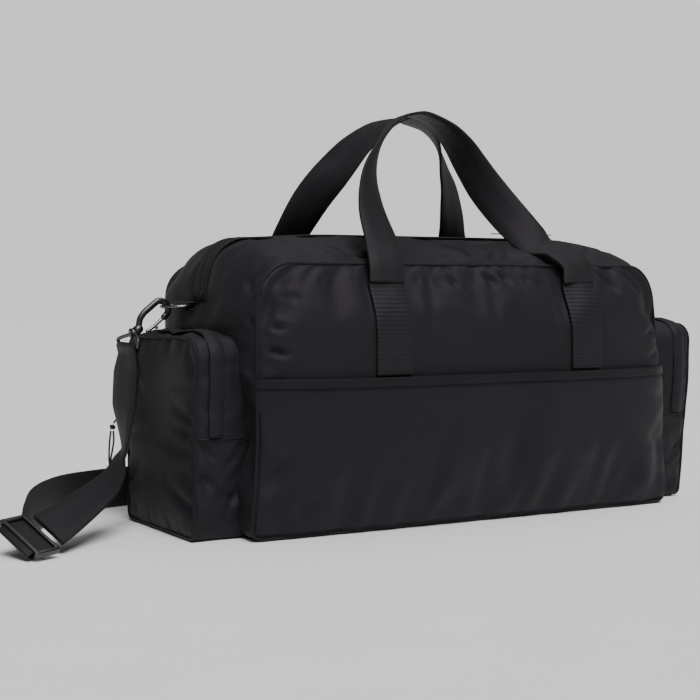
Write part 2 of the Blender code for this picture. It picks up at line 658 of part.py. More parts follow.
FRONT_RUN = [(-0.3285, 0.030, 0.1740), (-0.3280, 0.036, 0.1530), (-0.3279, 0.041, 0.1225),
             (-0.3285, 0.040, 0.1025), (-0.3330, 0.030, 0.0810), (-0.3440, 0.015, 0.0660),
             (-0.3620, -0.005, 0.0520), (-0.3920, -0.025, 0.0385), (-0.4220, -0.045, 0.0275),
             (-0.4430, -0.0585, 0.0212)]
FRONT_TURN = ((0.0, (0, 1, 0)), (0.10, (-0.15, 0.99, 0)), (0.22, (-0.12, 0.99, 0)),
              (0.33, (0.10, 0.99, 0)), (0.48, (0.38, 0.92, 0.10)), (0.56, (0.16, 0.95, 0.20)),
              (0.75, (0, 0.90, 0.40)), (1.0, (-0.33, 0.82, 0.46)))
LONG_RUN = [(-0.4510, -0.0634, 0.0192), tuple(ADJUSTER_AT), (-0.4756, -0.0729, 0.0179),
            (-0.4803, -0.0737, 0.0152), (-0.4780, -0.0700, 0.0126), (-0.4700, -0.0655, 0.0122),
            (-0.4600, -0.0560, 0.0128), (-0.4520, -0.0370, 0.0155), (-0.4450, -0.0130, 0.0205),
            (-0.4238, 0.0359, 0.0240), (-0.3908, 0.0880, 0.0240), (-0.3556, 0.1260, 0.0235),
            (-0.3100, 0.1500, 0.0230), (-0.2500, 0.1605, 0.0228), (-0.1600, 0.1650, 0.0230),
            (-0.0500, 0.1655, 0.0232), (0.0600, 0.1655, 0.0232), (0.1600, 0.1620, 0.0232),
            (0.2450, 0.1500, 0.0245), (0.2950, 0.1290, 0.0310), (0.3260, 0.1020, 0.0470),
            (0.3380, 0.0780, 0.0750), (0.3370, 0.0570, 0.1080), (0.3310, 0.0420, 0.1400),
            (0.3285, 0.0320, 0.1650), (0.3285, 0.0300, 0.1740)]
LONG_TURN = ((0.0, (-0.33, 0.82, 0.46)), (0.16, (-0.33, 0.82, 0.46)), (0.24, (-0.24, 0.88, 0.40)),
             (0.28, (-0.12, 0.75, 0.65)), (0.32, (0, 0.50, 0.86)), (0.36, (0, 0.10, 0.99)),
             (0.46, (0, -0.20, 0.98)), (0.72, (0, -0.20, 0.98)), (0.80, (0, 0.25, 0.97)),
             (0.90, (0, 0.85, 0.50)), (1.0, (0, 1, 0)))
FIXED_END_FROM = 19


def build_strap():
    left_bar = Vector((-LOOP_BAR_X, LOOP_BAR_Y, LOOP_BAR_Z))
    right_bar = Vector((LOOP_BAR_X, LOOP_BAR_Y, LOOP_BAR_Z))
    route = smooth_route(FRONT_RUN, 3)
    across = blend_directions(FRONT_TURN, len(route))
    outer = layer(route, across, LAYER_OFFSET)
    inner = layer(route, across, -LAYER_OFFSET)
    fold = wrap_round(left_bar, -35, 215, 6)
    sides = [Vector((0, 1, 0))] * len(fold)
    ribbon("strap_adjusting_end", "webbing", inner[::-1] + fold + outer,
           across[::-1] + sides + across, STRAP_WIDTH, STRAP_THICK)
    route = smooth_route(LONG_RUN, 3)
    across = blend_directions(LONG_TURN, len(route))
    turn = 3 * FIXED_END_FROM
    ribbon("strap_long_run", "webbing", route[:turn], across[:turn], STRAP_WIDTH, STRAP_THICK)
    tail = [point + Vector((TAIL_GAP, 0, 0)) for point in route[-10:]]
    fold = wrap_round(right_bar, 215, -35, 6)
    rise = route[turn:-10] + [point - Vector((0.0012, 0, 0)) for point in route[-10:]]
    rise[0] = rise[0].lerp(route[turn - 1], 1 - 4 * GAP / (rise[0] - route[turn - 1]).length)
    sides = [Vector((0, 1, 0))] * len(fold)
    ribbon("strap_fixed_end", "webbing", rise + fold + tail[::-1],
           across[turn:] + sides + across[-10:][::-1], STRAP_WIDTH, STRAP_THICK)
    build_adjuster()


def build_adjuster():
    """Three-bar slide: outer bars over the webbing, middle bar under it."""
    ahead = Vector(LONG_RUN[2]) - Vector(LONG_RUN[0])
    ahead.normalize()
    across = square_to(Vector(LONG_TURN[0][1]), ahead)
    normal = ahead.cross(across)
    if normal.z < 0:
        normal = -normal
    frame = Matrix((ahead, across, normal)).transposed().to_4x4()
    side_bar = (0.0270, 0.0045, 0.0066)
    length = 2 * ADJUSTER_REACH + 0.002

    def bar(along, aside, above, size):
        spot = ADJUSTER_AT + ahead * along + across * aside + normal * above
        return box_mesh(spot, size, frame)

    slide = place(bar(0, ADJUSTER_REACH, 0.0002, side_bar), "strap_adjuster", "gunmetal")
    combine(slide, bar(0, -ADJUSTER_REACH, 0.0002, side_bar), "UNION")
    for along in (ADJUSTER_BAR_AT, -ADJUSTER_BAR_AT):
        combine(slide, bar(along, 0, 0.0028, (0.0034, length, 0.0020)), "UNION")
    combine(slide, bar(0, 0, -0.0024, (0.0040, length, 0.0018)), "UNION")


def main():
    build_faces()
    build_gusset()
    for side, end in ((-1, "left"), (1, "right")):
        build_end_pocket(side, end)
        build_ring(side, end)
        build_hook(side, end)
    build_main_slider("a", SLIDER_A_X, -1)
    build_main_slider("b", SLIDER_B_X, 1)
    build_handle(-1, "front", 0.0)
    build_handle(1, "back", BACK_HANDLE_LEAN)
    build_strap()


clear_scene()
BAG = new_collection("duffel_bag")
CUTTERS = new_collection("cutters")
main()
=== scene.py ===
"""Looks of the duffel bag: sewn nylon body, webbing, zips, metal hardware and shoulder strap."""

import math
import random

import bmesh
import bpy
import numpy as np
from mathutils import Matrix, Vector, noise
from mathutils.bvhtree import BVHTree


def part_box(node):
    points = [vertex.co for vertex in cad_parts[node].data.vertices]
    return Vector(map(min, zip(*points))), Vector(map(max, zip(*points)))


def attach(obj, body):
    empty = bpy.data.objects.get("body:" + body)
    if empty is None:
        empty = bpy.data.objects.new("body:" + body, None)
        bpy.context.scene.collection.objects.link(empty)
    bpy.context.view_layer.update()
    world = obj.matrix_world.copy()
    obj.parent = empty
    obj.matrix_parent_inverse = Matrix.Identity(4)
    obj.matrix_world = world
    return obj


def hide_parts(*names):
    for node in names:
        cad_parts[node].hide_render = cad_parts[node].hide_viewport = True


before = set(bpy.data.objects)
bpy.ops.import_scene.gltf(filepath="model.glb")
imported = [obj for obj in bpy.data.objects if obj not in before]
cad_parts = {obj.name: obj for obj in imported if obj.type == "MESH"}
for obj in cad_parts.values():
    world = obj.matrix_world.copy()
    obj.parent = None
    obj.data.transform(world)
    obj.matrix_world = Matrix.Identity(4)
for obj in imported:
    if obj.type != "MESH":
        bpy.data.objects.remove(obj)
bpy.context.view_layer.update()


def low(node):
    return Vector(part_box(node)[0])


def high(node):
    return Vector(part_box(node)[1])


def middle(node, axis):
    return (low(node)[axis] + high(node)[axis]) / 2


def half_span(node, axis):
    return (high(node)[axis] - low(node)[axis]) / 2


# ---------------------------------------------------------------- sizes, most read from the frame
PIPING = 0.0025
HALF_LENGTH = high("front_piping").x - PIPING
HALF_DEPTH = -low("front_piping").y
SEAM_HEIGHT = high("front_piping").z - PIPING
BULGE = -low("front_panel").y - HALF_DEPTH + 0.001
CROWN = high("top_panel_front").z - SEAM_HEIGHT
BODY_CORNER = 0.0365
BASE_CORNER = 0.0120
ZIP_STRIP = 0.0150  # the cloth is held this far to each side of the main zip
HEM_TOP = high("front_pocket_hem").z
HEM_LOW = low("front_pocket_hem").z
POCKET_OUT = high("end_pocket_face_right").x
POCKET_HALF = high("end_pocket_gusset_right").y
POCKET_HIGH = high("end_pocket_gusset_right").z
POCKET_CORNER = 0.0180
POCKET_BASE_CORNER = 0.008
POCKET_IN = low("end_pocket_gusset_right").x
POCKET_ZIP_X = middle("end_pocket_zipper_right", 0)
POCKET_ZIP_LOW = low("end_pocket_zipper_right").z
LEG_X = middle("handle_leg_front_right", 0)
LEG_HALF = half_span("handle_leg_front_right", 0)
LEG_LOW = low("handle_leg_front_right").z
LEG_TOP = high("handle_leg_front_right").z
HARDWARE_Y = middle("d_ring_right", 1)
TAB_HALF = half_span("d_ring_tab_right", 1)
WIRE = 0.0019  # radius of the D-rings' and the strap loops' wire
LOOP_BAR = (0.3285, 0.0300, 0.1815)  # middle of the right strap loop's bar
STRAP_WIDTH = 0.0450
STRAP_THICK = 0.0018
THREAD_RADIUS = 0.00032
NYLON_WEAVE = 0.00062
YARN = 0.0009
SOFT_TINT = (1.0, 0.90, 1.0, 1.0)  # the photo's black leans a little to purple

ENDS = ((-1, "left"), (1, "right"))
FACES = ((-1, "front"), (1, "back"))
ALONG_X, ALONG_Y = Vector((1, 0, 0)), Vector((0, 1, 0))


# ---------------------------------------------------------------- node materials
def new_material(name, space="Object"):
    """A material with its node tree, its shader's sockets and its coordinates."""
    material = bpy.data.materials.new(name)
    material.use_nodes = True
    tree = material.node_tree
    place = tree.nodes.new("ShaderNodeTexCoord").outputs[space]
    return material, tree, tree.nodes["Principled BSDF"].inputs, place


def mixed(tree, factor, first, second):
    """Mixes two numbers or two colours."""
    mix = tree.nodes.new("ShaderNodeMix")
    colours = isinstance(first, tuple)
    mix.data_type = "RGBA" if colours else "FLOAT"
    start = 6 if colours else 2
    mix.inputs[start].default_value = first
    mix.inputs[start + 1].default_value = second
    tree.links.new(factor, mix.inputs[0])
    return mix.outputs[2 if colours else 0]


def noise_at(tree, place, scale, detail, stretch=None):
    if stretch:
        mapping = tree.nodes.new("ShaderNodeMapping")
        mapping.inputs["Scale"].default_value = stretch
        tree.links.new(place, mapping.inputs["Vector"])
        place = mapping.outputs[0]
    texture = tree.nodes.new("ShaderNodeTexNoise")
    texture.inputs["Scale"].default_value = scale
    texture.inputs["Detail"].default_value = detail
    tree.links.new(place, texture.inputs["Vector"])
    return texture.outputs[0]


def waves(tree, place, direction, period, distortion=0.0):
    texture = tree.nodes.new("ShaderNodeTexWave")
    texture.bands_direction = direction
    texture.inputs["Scale"].default_value = 2 * math.pi / (20 * period)
    texture.inputs["Distortion"].default_value = distortion
    tree.links.new(place, texture.inputs["Vector"])
    return texture.outputs["Fac"]


def joined(tree, first, second, operation="ADD"):
    node = tree.nodes.new("ShaderNodeMath")
    node.operation = operation
    tree.links.new(first, node.inputs[0])
    tree.links.new(second, node.inputs[1])
    return node.outputs[0]


def bumps(tree, shader, *layers):
    """Each layer is (height output, distance in metres, strength)."""
    before = None
    for height, distance, strength in layers:
        bump = tree.nodes.new("ShaderNodeBump")
        bump.inputs["Distance"].default_value = distance
        bump.inputs["Strength"].default_value = strength
        tree.links.new(height, bump.inputs["Height"])
        if before:
            tree.links.new(before, bump.inputs["Normal"])
        before = bump.outputs["Normal"]
    tree.links.new(before, shader["Normal"])


def plug(tree, shader, socket, factor, first, second):
    tree.links.new(mixed(tree, factor, first, second), shader[socket])


def grey(value, tint=0.0):
    return (value, value * (1 - tint * 0.5), value * (1 + tint), 1.0)


def nylon(name, shade=0.0095, rough=0.60):
    """Densely woven bag nylon with a soft satin sheen."""
    material, tree, shader, place = new_material(name)
    cloud = noise_at(tree, place, 26.0, 5.0)
    plug(tree, shader, "Base Color", cloud, grey(shade * 0.82, 0.12), grey(shade * 1.22, 0.14))
    plug(tree, shader, "Roughness", cloud, rough - 0.05, rough + 0.09)
    threads = waves(tree, place, "X", NYLON_WEAVE)
    for direction in "ZY":
        threads = joined(tree, threads, waves(tree, place, direction, NYLON_WEAVE))
    bumps(tree, shader, (noise_at(tree, place, 58.0, 3.0, (1.0, 1.0, 0.55)), 0.0011, 0.28),
          (noise_at(tree, place, 900.0, 2.0), 0.0002, 0.20), (threads, 0.00006, 0.45))
    shader["Sheen Weight"].default_value = 0.040
    shader["Sheen Roughness"].default_value = 0.45
    shader["Specular IOR Level"].default_value = 0.20
    shader["Specular Tint"].default_value = SOFT_TINT
    return material


def webbing(name, rib=0.0016, shade=0.0080, rough=0.52, strong=0.75):
    """Ribbed polypropylene webbing; its UV map is in metres, across and along."""
    material, tree, shader, place = new_material(name, "UV")
    ribs = waves(tree, place, "Y", rib, 0.6)
    cloud = noise_at(tree, place, 40.0, 4.0)
    plug(tree, shader, "Base Color", joined(tree, cloud, ribs, "MULTIPLY"),
         grey(shade * 0.75, 0.08), grey(shade * 1.45, 0.12))
    plug(tree, shader, "Roughness", cloud, rough, rough + 0.12)
    bumps(tree, shader, (noise_at(tree, place, 700.0, 3.0), 0.0002, 0.25),
          (waves(tree, place, "X", YARN, 0.8), 0.00012, 0.35), (ribs, 0.00028, strong))
    shader["Sheen Weight"].default_value = 0.030
    shader["Specular IOR Level"].default_value = 0.26
    shader["Specular Tint"].default_value = SOFT_TINT
    return material


def thread(name, shade=0.0130):
    material, tree, shader, place = new_material(name)
    twist = noise_at(tree, place, 2200.0, 2.0)
    plug(tree, shader, "Base Color", twist, grey(shade * 0.7), grey(shade * 1.5))
    bumps(tree, shader, (twist, 0.0001, 0.5))
    shader["Roughness"].default_value = 0.42
    return material


def metal(name, shade, rough):
    """Gunmetal plating: fine brushing, faint handling marks."""
    material, tree, shader, place = new_material(name)
    smear = noise_at(tree, place, 240.0, 5.0)
    plug(tree, shader, "Base Color", smear, grey(shade * 0.70, 0.03), grey(shade * 1.35, 0.03))
    plug(tree, shader, "Roughness", smear, rough - 0.06, rough + 0.14)
    bumps(tree, shader, (noise_at(tree, place, 900.0, 3.0, (1.0, 1.0, 0.12)), 0.00008, 0.30))
    shader["Metallic"].default_value = 1.0
    return material


def moulded(name, shade, rough):
    """Moulded black plastic with a fine spark grain."""
    material, tree, shader, place = new_material(name)
    cloud = noise_at(tree, place, 90.0, 3.0)
    plug(tree, shader, "Base Color", cloud, grey(shade * 0.8), grey(shade * 1.3))
    plug(tree, shader, "Roughness", cloud, rough - 0.05, rough + 0.10)
    bumps(tree, shader, (noise_at(tree, place, 1600.0, 2.0), 0.00008, 0.35))
    return material


NYLON = nylon("nylon_cloth")
# Darker copy of the nylon. On the end pockets' piping and seam lines it is painted shade, the dark
# line a seam shows. It also covers the front pocket's binding.
NYLON_DARK = nylon("nylon_seam_shade_and_binding", 0.0070, 0.56)
WEBBING = webbing("webbing_black")
WEBBING_SEWN = webbing("webbing_sewn", 0.0040, 0.0075, 0.55, 1.0)
TAPE = webbing("zip_tape_weave", 0.0008, 0.0060, 0.62, 0.4)
COIL = moulded("zip_coil", 0.0080, 0.36)
THREAD = thread("sewing_thread")
METAL = metal("gunmetal", 0.075, 0.34)
# Lighter, glossier copy of the gunmetal: painted highlight on the D-rings, hook gates and zip
# pulls, the small parts that catch the light.
METAL_PAINTED_HIGHLIGHT = metal("gunmetal_painted_highlight", 0.16, 0.26)
CORD_CLOTH = thread("cord_braid", 0.0100)
BOARD = moulded("stiff_board", 0.05, 0.55)


# ---------------------------------------------------------------- mesh helpers
def new_object(name, data):
    item = bpy.data.objects.new(name, data)
    bpy.context.scene.collection.objects.link(item)
    return item


def mesh_of(bm, name):
    data = bpy.data.meshes.new(name)
    bm.to_mesh(data)
    bm.free()
    return data


def baked(item):
    """The item's mesh with its modifiers applied; the item itself is removed."""
    graph = bpy.context.evaluated_depsgraph_get()
    result = bpy.data.meshes.new_from_object(item.evaluated_get(graph))
    bpy.data.objects.remove(item, do_unlink=True)
    return result


def add_piece(name, shape, material, body, slot, *replaced):
    """A smooth piece from a mesh or bmesh that rides on body and stands for the replaced nodes."""
    data = mesh_of(shape, name) if isinstance(shape, bmesh.types.BMesh) else shape
    item = new_object(name, data)
    data.materials.clear()
    data.materials.append(material)
    data.shade_smooth()
    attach(item, body)
    if replaced:
        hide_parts(*replaced)
    return item


def between(first, last, count):
    return [first + (last - first) * i / count for i in range(count + 1)]


def polar(degrees):
    """Cosine and sine of an angle."""
    angle = math.radians(degrees)
    return math.cos(angle), math.sin(angle)


def smooth_route(points, per_span):
    """Catmull-Rom curve through the given points."""
    points = [Vector(point) for point in points]
    ends = [2 * points[0] - points[1]] + points + [2 * points[-1] - points[-2]]
    route = []
    for a, b, c, d in zip(ends, ends[1:], ends[2:], ends[3:]):
        for i in range(per_span):
            t = i / per_span
            route.append(0.5 * (2 * b + (c - a) * t + (2 * a - 5 * b + 4 * c - d) * t ** 2
                                + (3 * b - a - 3 * c + d) * t ** 3))
    return route + [points[-1]]


def tangents(route, closed=False):
    if closed:
        return [(after - before).normalized()
                for after, before in zip(route[1:] + route[:1], route[-1:] + route[:-1])]
    return [(a - b).normalized() for a, b in zip(route[1:] + route[-1:], route[:1] + route[:-1])]


def route_length(route):
    return sum((b - a).length for a, b in zip(route, route[1:]))


def stations(line, pitch, wanted=0.0):
    """Points every pitch along a line, from wanted on: (segment number, point, direction)."""
    travelled = 0.0
    for number, (a, b) in enumerate(zip(line, line[1:])):
        span = (b - a).length
        if span < 1e-7:
            continue
        way = (b - a) / span
        while wanted <= travelled + span:
            yield number, a + way * (wanted - travelled), way
            wanted += pitch
        travelled += span


def square_to(across, tangent):
    return (across - tangent * across.dot(tangent)).normalized()


def loft(rings, closed=False, uvs=None):
    """Skin over rings of points, capped unless closed; uvs gives each point's place in metres."""
    bm = bmesh.new()
    layer = bm.loops.layers.uv.new("UVMap") if uvs else None
    grid = [[bm.verts.new(point) for point in ring] for ring in rings]
    count = len(rings[0])
    for j in range(len(rings) if closed else len(rings) - 1):
        for i in range(count):
            corners = [(a % len(rings), b % count)
                       for a, b in ((j, i), (j, i + 1), (j + 1, i + 1), (j + 1, i))]
            face = bm.faces.new([grid[a][b] for a, b in corners])
            if uvs:
                for loop, (a, b) in zip(face.loops, corners):
                    loop[layer].uv = uvs[a][b]
    if not closed:
        bm.faces.new(grid[0][::-1])
        bm.faces.new(grid[-1])
    bmesh.ops.recalc_face_normals(bm, faces=bm.faces)
    return bm


def ribbon(name, route, across, width, thick, material, body, slot, *replaced, cup=0.0, edge=None):
    """Webbing with rounded edges; across is the direction of its width at each point."""
    edge = edge or min(0.0005, thick / 3)
    half, deep = width / 2, thick / 2
    section = [(-half + edge, -deep), (-half, -deep + edge), (-half, deep - edge),
               (-half + edge, deep), (-half / 3, deep + cup), (half / 3, deep + cup),
               (half - edge, deep), (half, deep - edge), (half, -deep + edge),
               (half - edge, -deep), (half / 3, -deep + cup), (-half / 3, -deep + cup)]
    rings, uvs = [], []
    along, last = 0.0, route[0]
    for point, tangent, side in zip(route, tangents(route), across):
        along += (point - last).length
        last = point
        face = side.cross(tangent).normalized()
        rings.append([point + side * a + face * b for a, b in section])
        uvs.append([(a, along) for a, _ in section])
    return add_piece(name, loft(rings, uvs=uvs), material, body, slot, *replaced)


def circle(centre, axis, side, radius, sides, squash=1.0):
    """Points round a centre, the first one towards side; squash thins the circle along y."""
    other = axis.cross(side)
    ring = []
    for k in range(sides):
        angle = 2 * math.pi * k / sides
        offset = (side * math.cos(angle) + other * math.sin(angle)) * radius
        offset.y *= squash
        ring.append(centre + offset)
    return ring


def tube_bm(route, radius, sides=12, closed=False, squash=1.0):
    """Round bar along a route; its ends are rounded over."""
    points, sizes = list(route), [1.0] * len(route)
    if not closed:
        start = (points[0] - points[1]).normalized()
        finish = (points[-1] - points[-2]).normalized()
        caps = ((0.90, 0.30), (0.62, 0.72), (0.25, 0.95))
        points = ([points[0] + start * radius * reach for _, reach in caps[::-1]] + points
                  + [points[-1] + finish * radius * reach for _, reach in caps])
        sizes = [size for size, _ in caps[::-1]] + sizes + [size for size, _ in caps]
    ways = tangents(points, closed)
    side = ways[0].orthogonal().normalized()
    rings = []
    for point, way, size in zip(points, ways, sizes):
        side = square_to(side, way)
        rings.append(circle(point, way, side, radius * size, sides, squash))
    return loft(match_seam(rings) if closed else rings, closed)


def match_seam(rings):
    """Spreads the twist left over at the join of a closed bar round its rings."""
    count = len(rings[0])
    first, last = rings[0], rings[-1]
    gaps = [sum((first[i] - last[(i + k) % count]).length for i in range(count))
            for k in range(count)]
    shift = gaps.index(min(gaps))
    shift = shift - count if shift > count / 2 else shift
    total = len(rings) - 1
    return [[ring[(i + round(shift * j / total)) % count] for i in range(count)]
            for j, ring in enumerate(rings)]


def tube(name, route, radius, material, body, slot, *replaced, **options):
    return add_piece(name, tube_bm(route, radius, **options), material, body, slot, *replaced)


def turned_bm(profile, base, axis, sides=20):
    """Turned solid: profile is (distance along the axis, radius)."""
    axis = axis.normalized()
    side = axis.orthogonal().normalized()
    return loft([circle(base + axis * along, axis, side, radius, sides)
                 for along, radius in profile])


def merged(first, *others):
    for other in others:
        data = mesh_of(other, "merged")
        first.from_mesh(data)
        bpy.data.meshes.remove(data)
    return first


def stitches(name, rows, body, slot="webbing", pitch=0.0038, length=0.0029):
    """Thread dashes along seams; each row is (points, one normal or a normal for each point)."""
    bm = bmesh.new()
    for points, normals in rows:
        for number, centre, way in stations(points, pitch, pitch / 2):
            normal = normals if isinstance(normals, Vector) else normals[number]
            side, up = way.cross(normal).normalized() * THREAD_RADIUS, normal * THREAD_RADIUS
            half = way * length / 2
            ring = [bm.verts.new(centre + offset) for offset in (side, up, -side, -up)]
            back, fore = [bm.verts.new(centre + offset - up) for offset in (-half, half)]
            for a, b in zip(ring, ring[1:] + ring[:1]):
                bm.faces.new((a, b, fore))
                bm.faces.new((b, a, back))
    bmesh.ops.recalc_face_normals(bm, faces=bm.faces)
    return add_piece(name, bm, THREAD, body, slot)


# ---------------------------------------------------------------- sewn shells
def clamp(share):
    return min(1.0, max(0.0, share))


def ease(share):
    share = clamp(share)
    return share * share * (3 - 2 * share)


def outline_heights(outline, cell):
    """Levels of an outline, closer together round its corners."""
    _, base, top, low_corner, high_corner = outline
    foot = between(0.0, 90.0, max(2, round(low_corner * 1.4 / cell)))
    rise = between(0.0, 90.0, max(3, round(high_corner * 1.4 / cell)))
    heights = [base + low_corner * (1 - polar(a)[0]) for a in foot]
    start, stop = base + low_corner, top - high_corner
    heights += between(start, stop, max(2, round((stop - start) / cell)))[1:]
    return heights + [stop + high_corner * polar(a)[1] for a in rise[1:]]


def outline_half(outline, up):
    """Half the width of an outline at a level."""
    half, base, top, low_corner, high_corner = outline
    for corner, past in ((high_corner, up - top + high_corner),
                         (low_corner, base + low_corner - up)):
        if past > 0:
            return half - corner + math.sqrt(max(corner ** 2 - past ** 2, 0))
    return half


def shell_bm(outline, near, far, cell, shape, place):
    """Closed sewn box: two faces with rounded corners joined by a gusset.

    outline is (half width, base, top, lower corner, upper corner); near and far are the faces'
    depths.  shape(side, across, up, depth) says how far a point moves (across, out, up); side is -1
    on the near face, 1 on the far face and 0 on the gusset.  place turns (across, out, up) into
    world coordinates.  Returns the mesh and the numbers of its seam vertices.
    """
    bm = bmesh.new()
    heights = outline_heights(outline, cell)
    rows, columns = len(heights) - 1, max(4, round(2 * outline[0] / cell))

    def vert(side, j, i, depth):
        up = heights[j]
        reach = outline_half(outline, up)
        across = -reach + 2 * reach * i / columns
        a, o, u = shape(side, across, up, depth)
        return bm.verts.new(place(across + a, depth + o, up + u))

    faces = [[[vert(side, j, i, depth) for i in range(columns + 1)] for j in range(rows + 1)]
             for side, depth in ((-1, near), (1, far))]
    rim = [(0, i) for i in range(columns + 1)] + [(j, columns) for j in range(1, rows + 1)]
    rim += [(rows, i) for i in range(columns - 1, -1, -1)]
    rim += [(j, 0) for j in range(rows - 1, 0, -1)]
    steps = max(3, round((far - near) / cell))
    bands = [[vert(0, j, i, near + (far - near) * k / steps) for j, i in rim]
             for k in range(1, steps)]
    bands = [[faces[0][j][i] for j, i in rim]] + bands + [[faces[1][j][i] for j, i in rim]]
    for grid in faces:
        for lower, upper in zip(grid, grid[1:]):
            for i in range(columns):
                bm.faces.new((lower[i], lower[i + 1], upper[i + 1], upper[i]))
    for first, second in zip(bands, bands[1:]):
        for i in range(len(rim)):
            k = (i + 1) % len(rim)
            bm.faces.new((first[i], first[k], second[k], second[i]))
    bmesh.ops.recalc_face_normals(bm, faces=bm.faces)
    bm.verts.index_update()
    return bm, {v.index for v in bands[0] + bands[-1]}


def puff(data, pinned, pressure, slack, cap, frames=16):
    """Cloth simulation under pressure with pinned vertices; no point moves further than cap."""
    start = np.array([v.co for v in data.vertices])
    item = new_object("puffing", data)
    item.vertex_groups.new(name="held").add(sorted(pinned), 1.0, "REPLACE")
    cloth = item.modifiers.new("Cloth", "CLOTH")
    values = dict(quality=6, mass=0.25, tension_stiffness=18, compression_stiffness=18,
                  shear_stiffness=6, bending_stiffness=0.35, tension_damping=12,
                  compression_damping=12, air_damping=4, vertex_group_mass="held",
                  pin_stiffness=1.0, use_pressure=True, uniform_pressure_force=pressure,
                  shrink_min=-slack)
    for key, value in values.items():
        setattr(cloth.settings, key, value)
    cloth.settings.effector_weights.gravity = 0.0
    cloth.point_cache.frame_start = 1
    cloth.point_cache.frame_end = frames
    for number in range(1, frames + 1):
        bpy.context.scene.frame_set(number)
    result = baked(item)
    bpy.context.scene.frame_set(1)
    moved = np.array([v.co for v in result.vertices]) - start
    length = np.linalg.norm(moved, axis=1, keepdims=True)
    scale = np.minimum(1.0, cap / np.maximum(length, 1e-9))
    result.vertices.foreach_set("co", (start + moved * scale).astype(np.float32).ravel())
    result.update()
    return result


def subdivided(data):
    item = new_object("refining", data)
    step = item.modifiers.new("Refine", "SUBSURF")
    step.levels = step.render_levels = 1
    return baked(item)


def crease(data, folds, still, free=False):
    """Presses soft folds into a mesh; a fold is (start, end, width, depth), fading to its end.

    A free fold fades at both ends.  still(point) is 0 where the cloth is held, 1 where it is loose.
    """
    data.update()
    points = np.array([v.co for v in data.vertices])
    normals = np.array([v.normal for v in data.vertices])
    hold = np.array([still(Vector(point)) for point in points])
    points += normals * (fold_depth(points, folds, free) * hold)[:, None]
    data.vertices.foreach_set("co", points.astype(np.float32).ravel())
    data.update()


def fold_depth(points, folds, free=False):
    """How far each point rises (or sinks, below 0) in the folds round it."""
    total = np.zeros(len(points))
    for start, end, width, depth in folds:
        start, end = np.array(start), np.array(end)
        run = end - start
        share = np.clip((points - start) @ run / (run @ run), 0, 1)
        gap = np.linalg.norm(points - (start + share[:, None] * run), axis=1)
        fade = np.sin(share * math.pi) if free else np.cos(share * math.pi / 2) ** 0.6
        dip = np.exp(-(gap / width) ** 2)
        shoulder = np.exp(-((gap - 2.1 * width) / width) ** 2)
        total += depth * fade * (0.25 * shoulder - dip)
    return total


def surface(data):
    bm = bmesh.new()
    bm.from_mesh(data)
    tree = BVHTree.FromBMesh(bm)
    bm.free()
    return tree


def drape(tree, point, way, lift):
    """Point on a shell, met from outside along way, lifted off it; point itself if it is missed."""
    hit = tree.ray_cast(point - way * 0.06, way)[0]
    return point if hit is None else hit - way * lift


# ---------------------------------------------------------------- main body
def arch(y):
    """1 in the middle of the bag's depth, 0 at its seams."""
    return max(0.0, 1 - (y / HALF_DEPTH) ** 2)


def crown(x, y):
    """Height of the arched top over the seam; it sinks at the ends, more at the emptier right."""
    sunk = 0.45 * ease((x - 0.15) / 0.10) + 0.16 * ease((-x - 0.12) / 0.12)
    return CROWN * (1 - sunk) * arch(y)


def slump(point):
    """The empty upper right corner leans in, the lower ends spread and the end panels belly out."""
    right = ease((point.x - 0.10) / 0.15)
    left = ease((-point.x - 0.10) / 0.15)
    foot = 1 - ease(point.z / 0.10)
    lean = 0.019 * right * ease((point.z - 0.10) / 0.15)
    belly = ease((point.z - 0.10) / 0.09) * arch(point.y) * ease((abs(point.x) - 0.20) / 0.05)
    out = belly * (0.017 if point.x > 0 else -0.010)
    return Vector((point.x - lean + out + 0.006 * foot * (right - left), point.y, point.z))


def ripple(point, scale, amount):
    return noise.noise(Vector(point) * scale) * amount


def looseness(across, up, half_width, height, power):
    """1 in the middle of a face, 0 at its seams."""
    centre = height / 2
    return (max(0.0, 1 - abs(across / half_width) ** power)
            * max(0.0, 1 - abs((up - centre) / centre) ** 4))


def body_shape(side, across, up, depth):
    """Puffed faces and an arched top."""
    if side:
        loose = looseness(across, up, HALF_LENGTH, SEAM_HEIGHT, 4)
        sag = 1.0 + 0.10 * math.sin(across * 19.0 + side) * (up / SEAM_HEIGHT)
        out = BULGE * 0.93 * loose * sag - 0.0008 + ripple((across, side, up), 14.0, 0.0022) * loose
        return 0.0, side * out, 0.0
    share = clamp((up - SEAM_HEIGHT + BODY_CORNER) / BODY_CORNER)
    settle = ripple((across * 0.7, depth, 3.0), 16.0, 0.0030) * share * min(1.0, abs(depth) / 0.03)
    settle *= max(0.0, 1 - abs(depth) / HALF_DEPTH) ** 0.5
    return 0.0, 0.0, share * crown(across, depth) + settle


def near_zip(point):
    return abs(point.y) < ZIP_STRIP and point.z > SEAM_HEIGHT - BODY_CORNER - 0.004


def body_hold(point):
    """0 at the seams, the zip and the base, 1 on free cloth."""
    if point.z < 0.004:
        return 0.0
    inwards = max(0.0, min(HALF_LENGTH - abs(point.x), SEAM_HEIGHT - point.z))
    seam = clamp((abs(abs(point.y) - HALF_DEPTH) + inwards) / 0.0035)
    if point.z > SEAM_HEIGHT - BODY_CORNER:
        return seam * clamp((abs(point.y) - ZIP_STRIP) / 0.012)
    return seam


def metres(rows):
    """Rows of tenths of a millimetre in metres."""
    return [[value / 10000 for value in row] for row in rows]


def face_folds(*rows):
    """Front folds in tenths of a mm: x and z of the start, x and z of the end, width, depth."""
    y = -HALF_DEPTH - 0.008
    return [((a, y, b), (c, y, d), width, depth) for a, b, c, d, width, depth in metres(rows)]


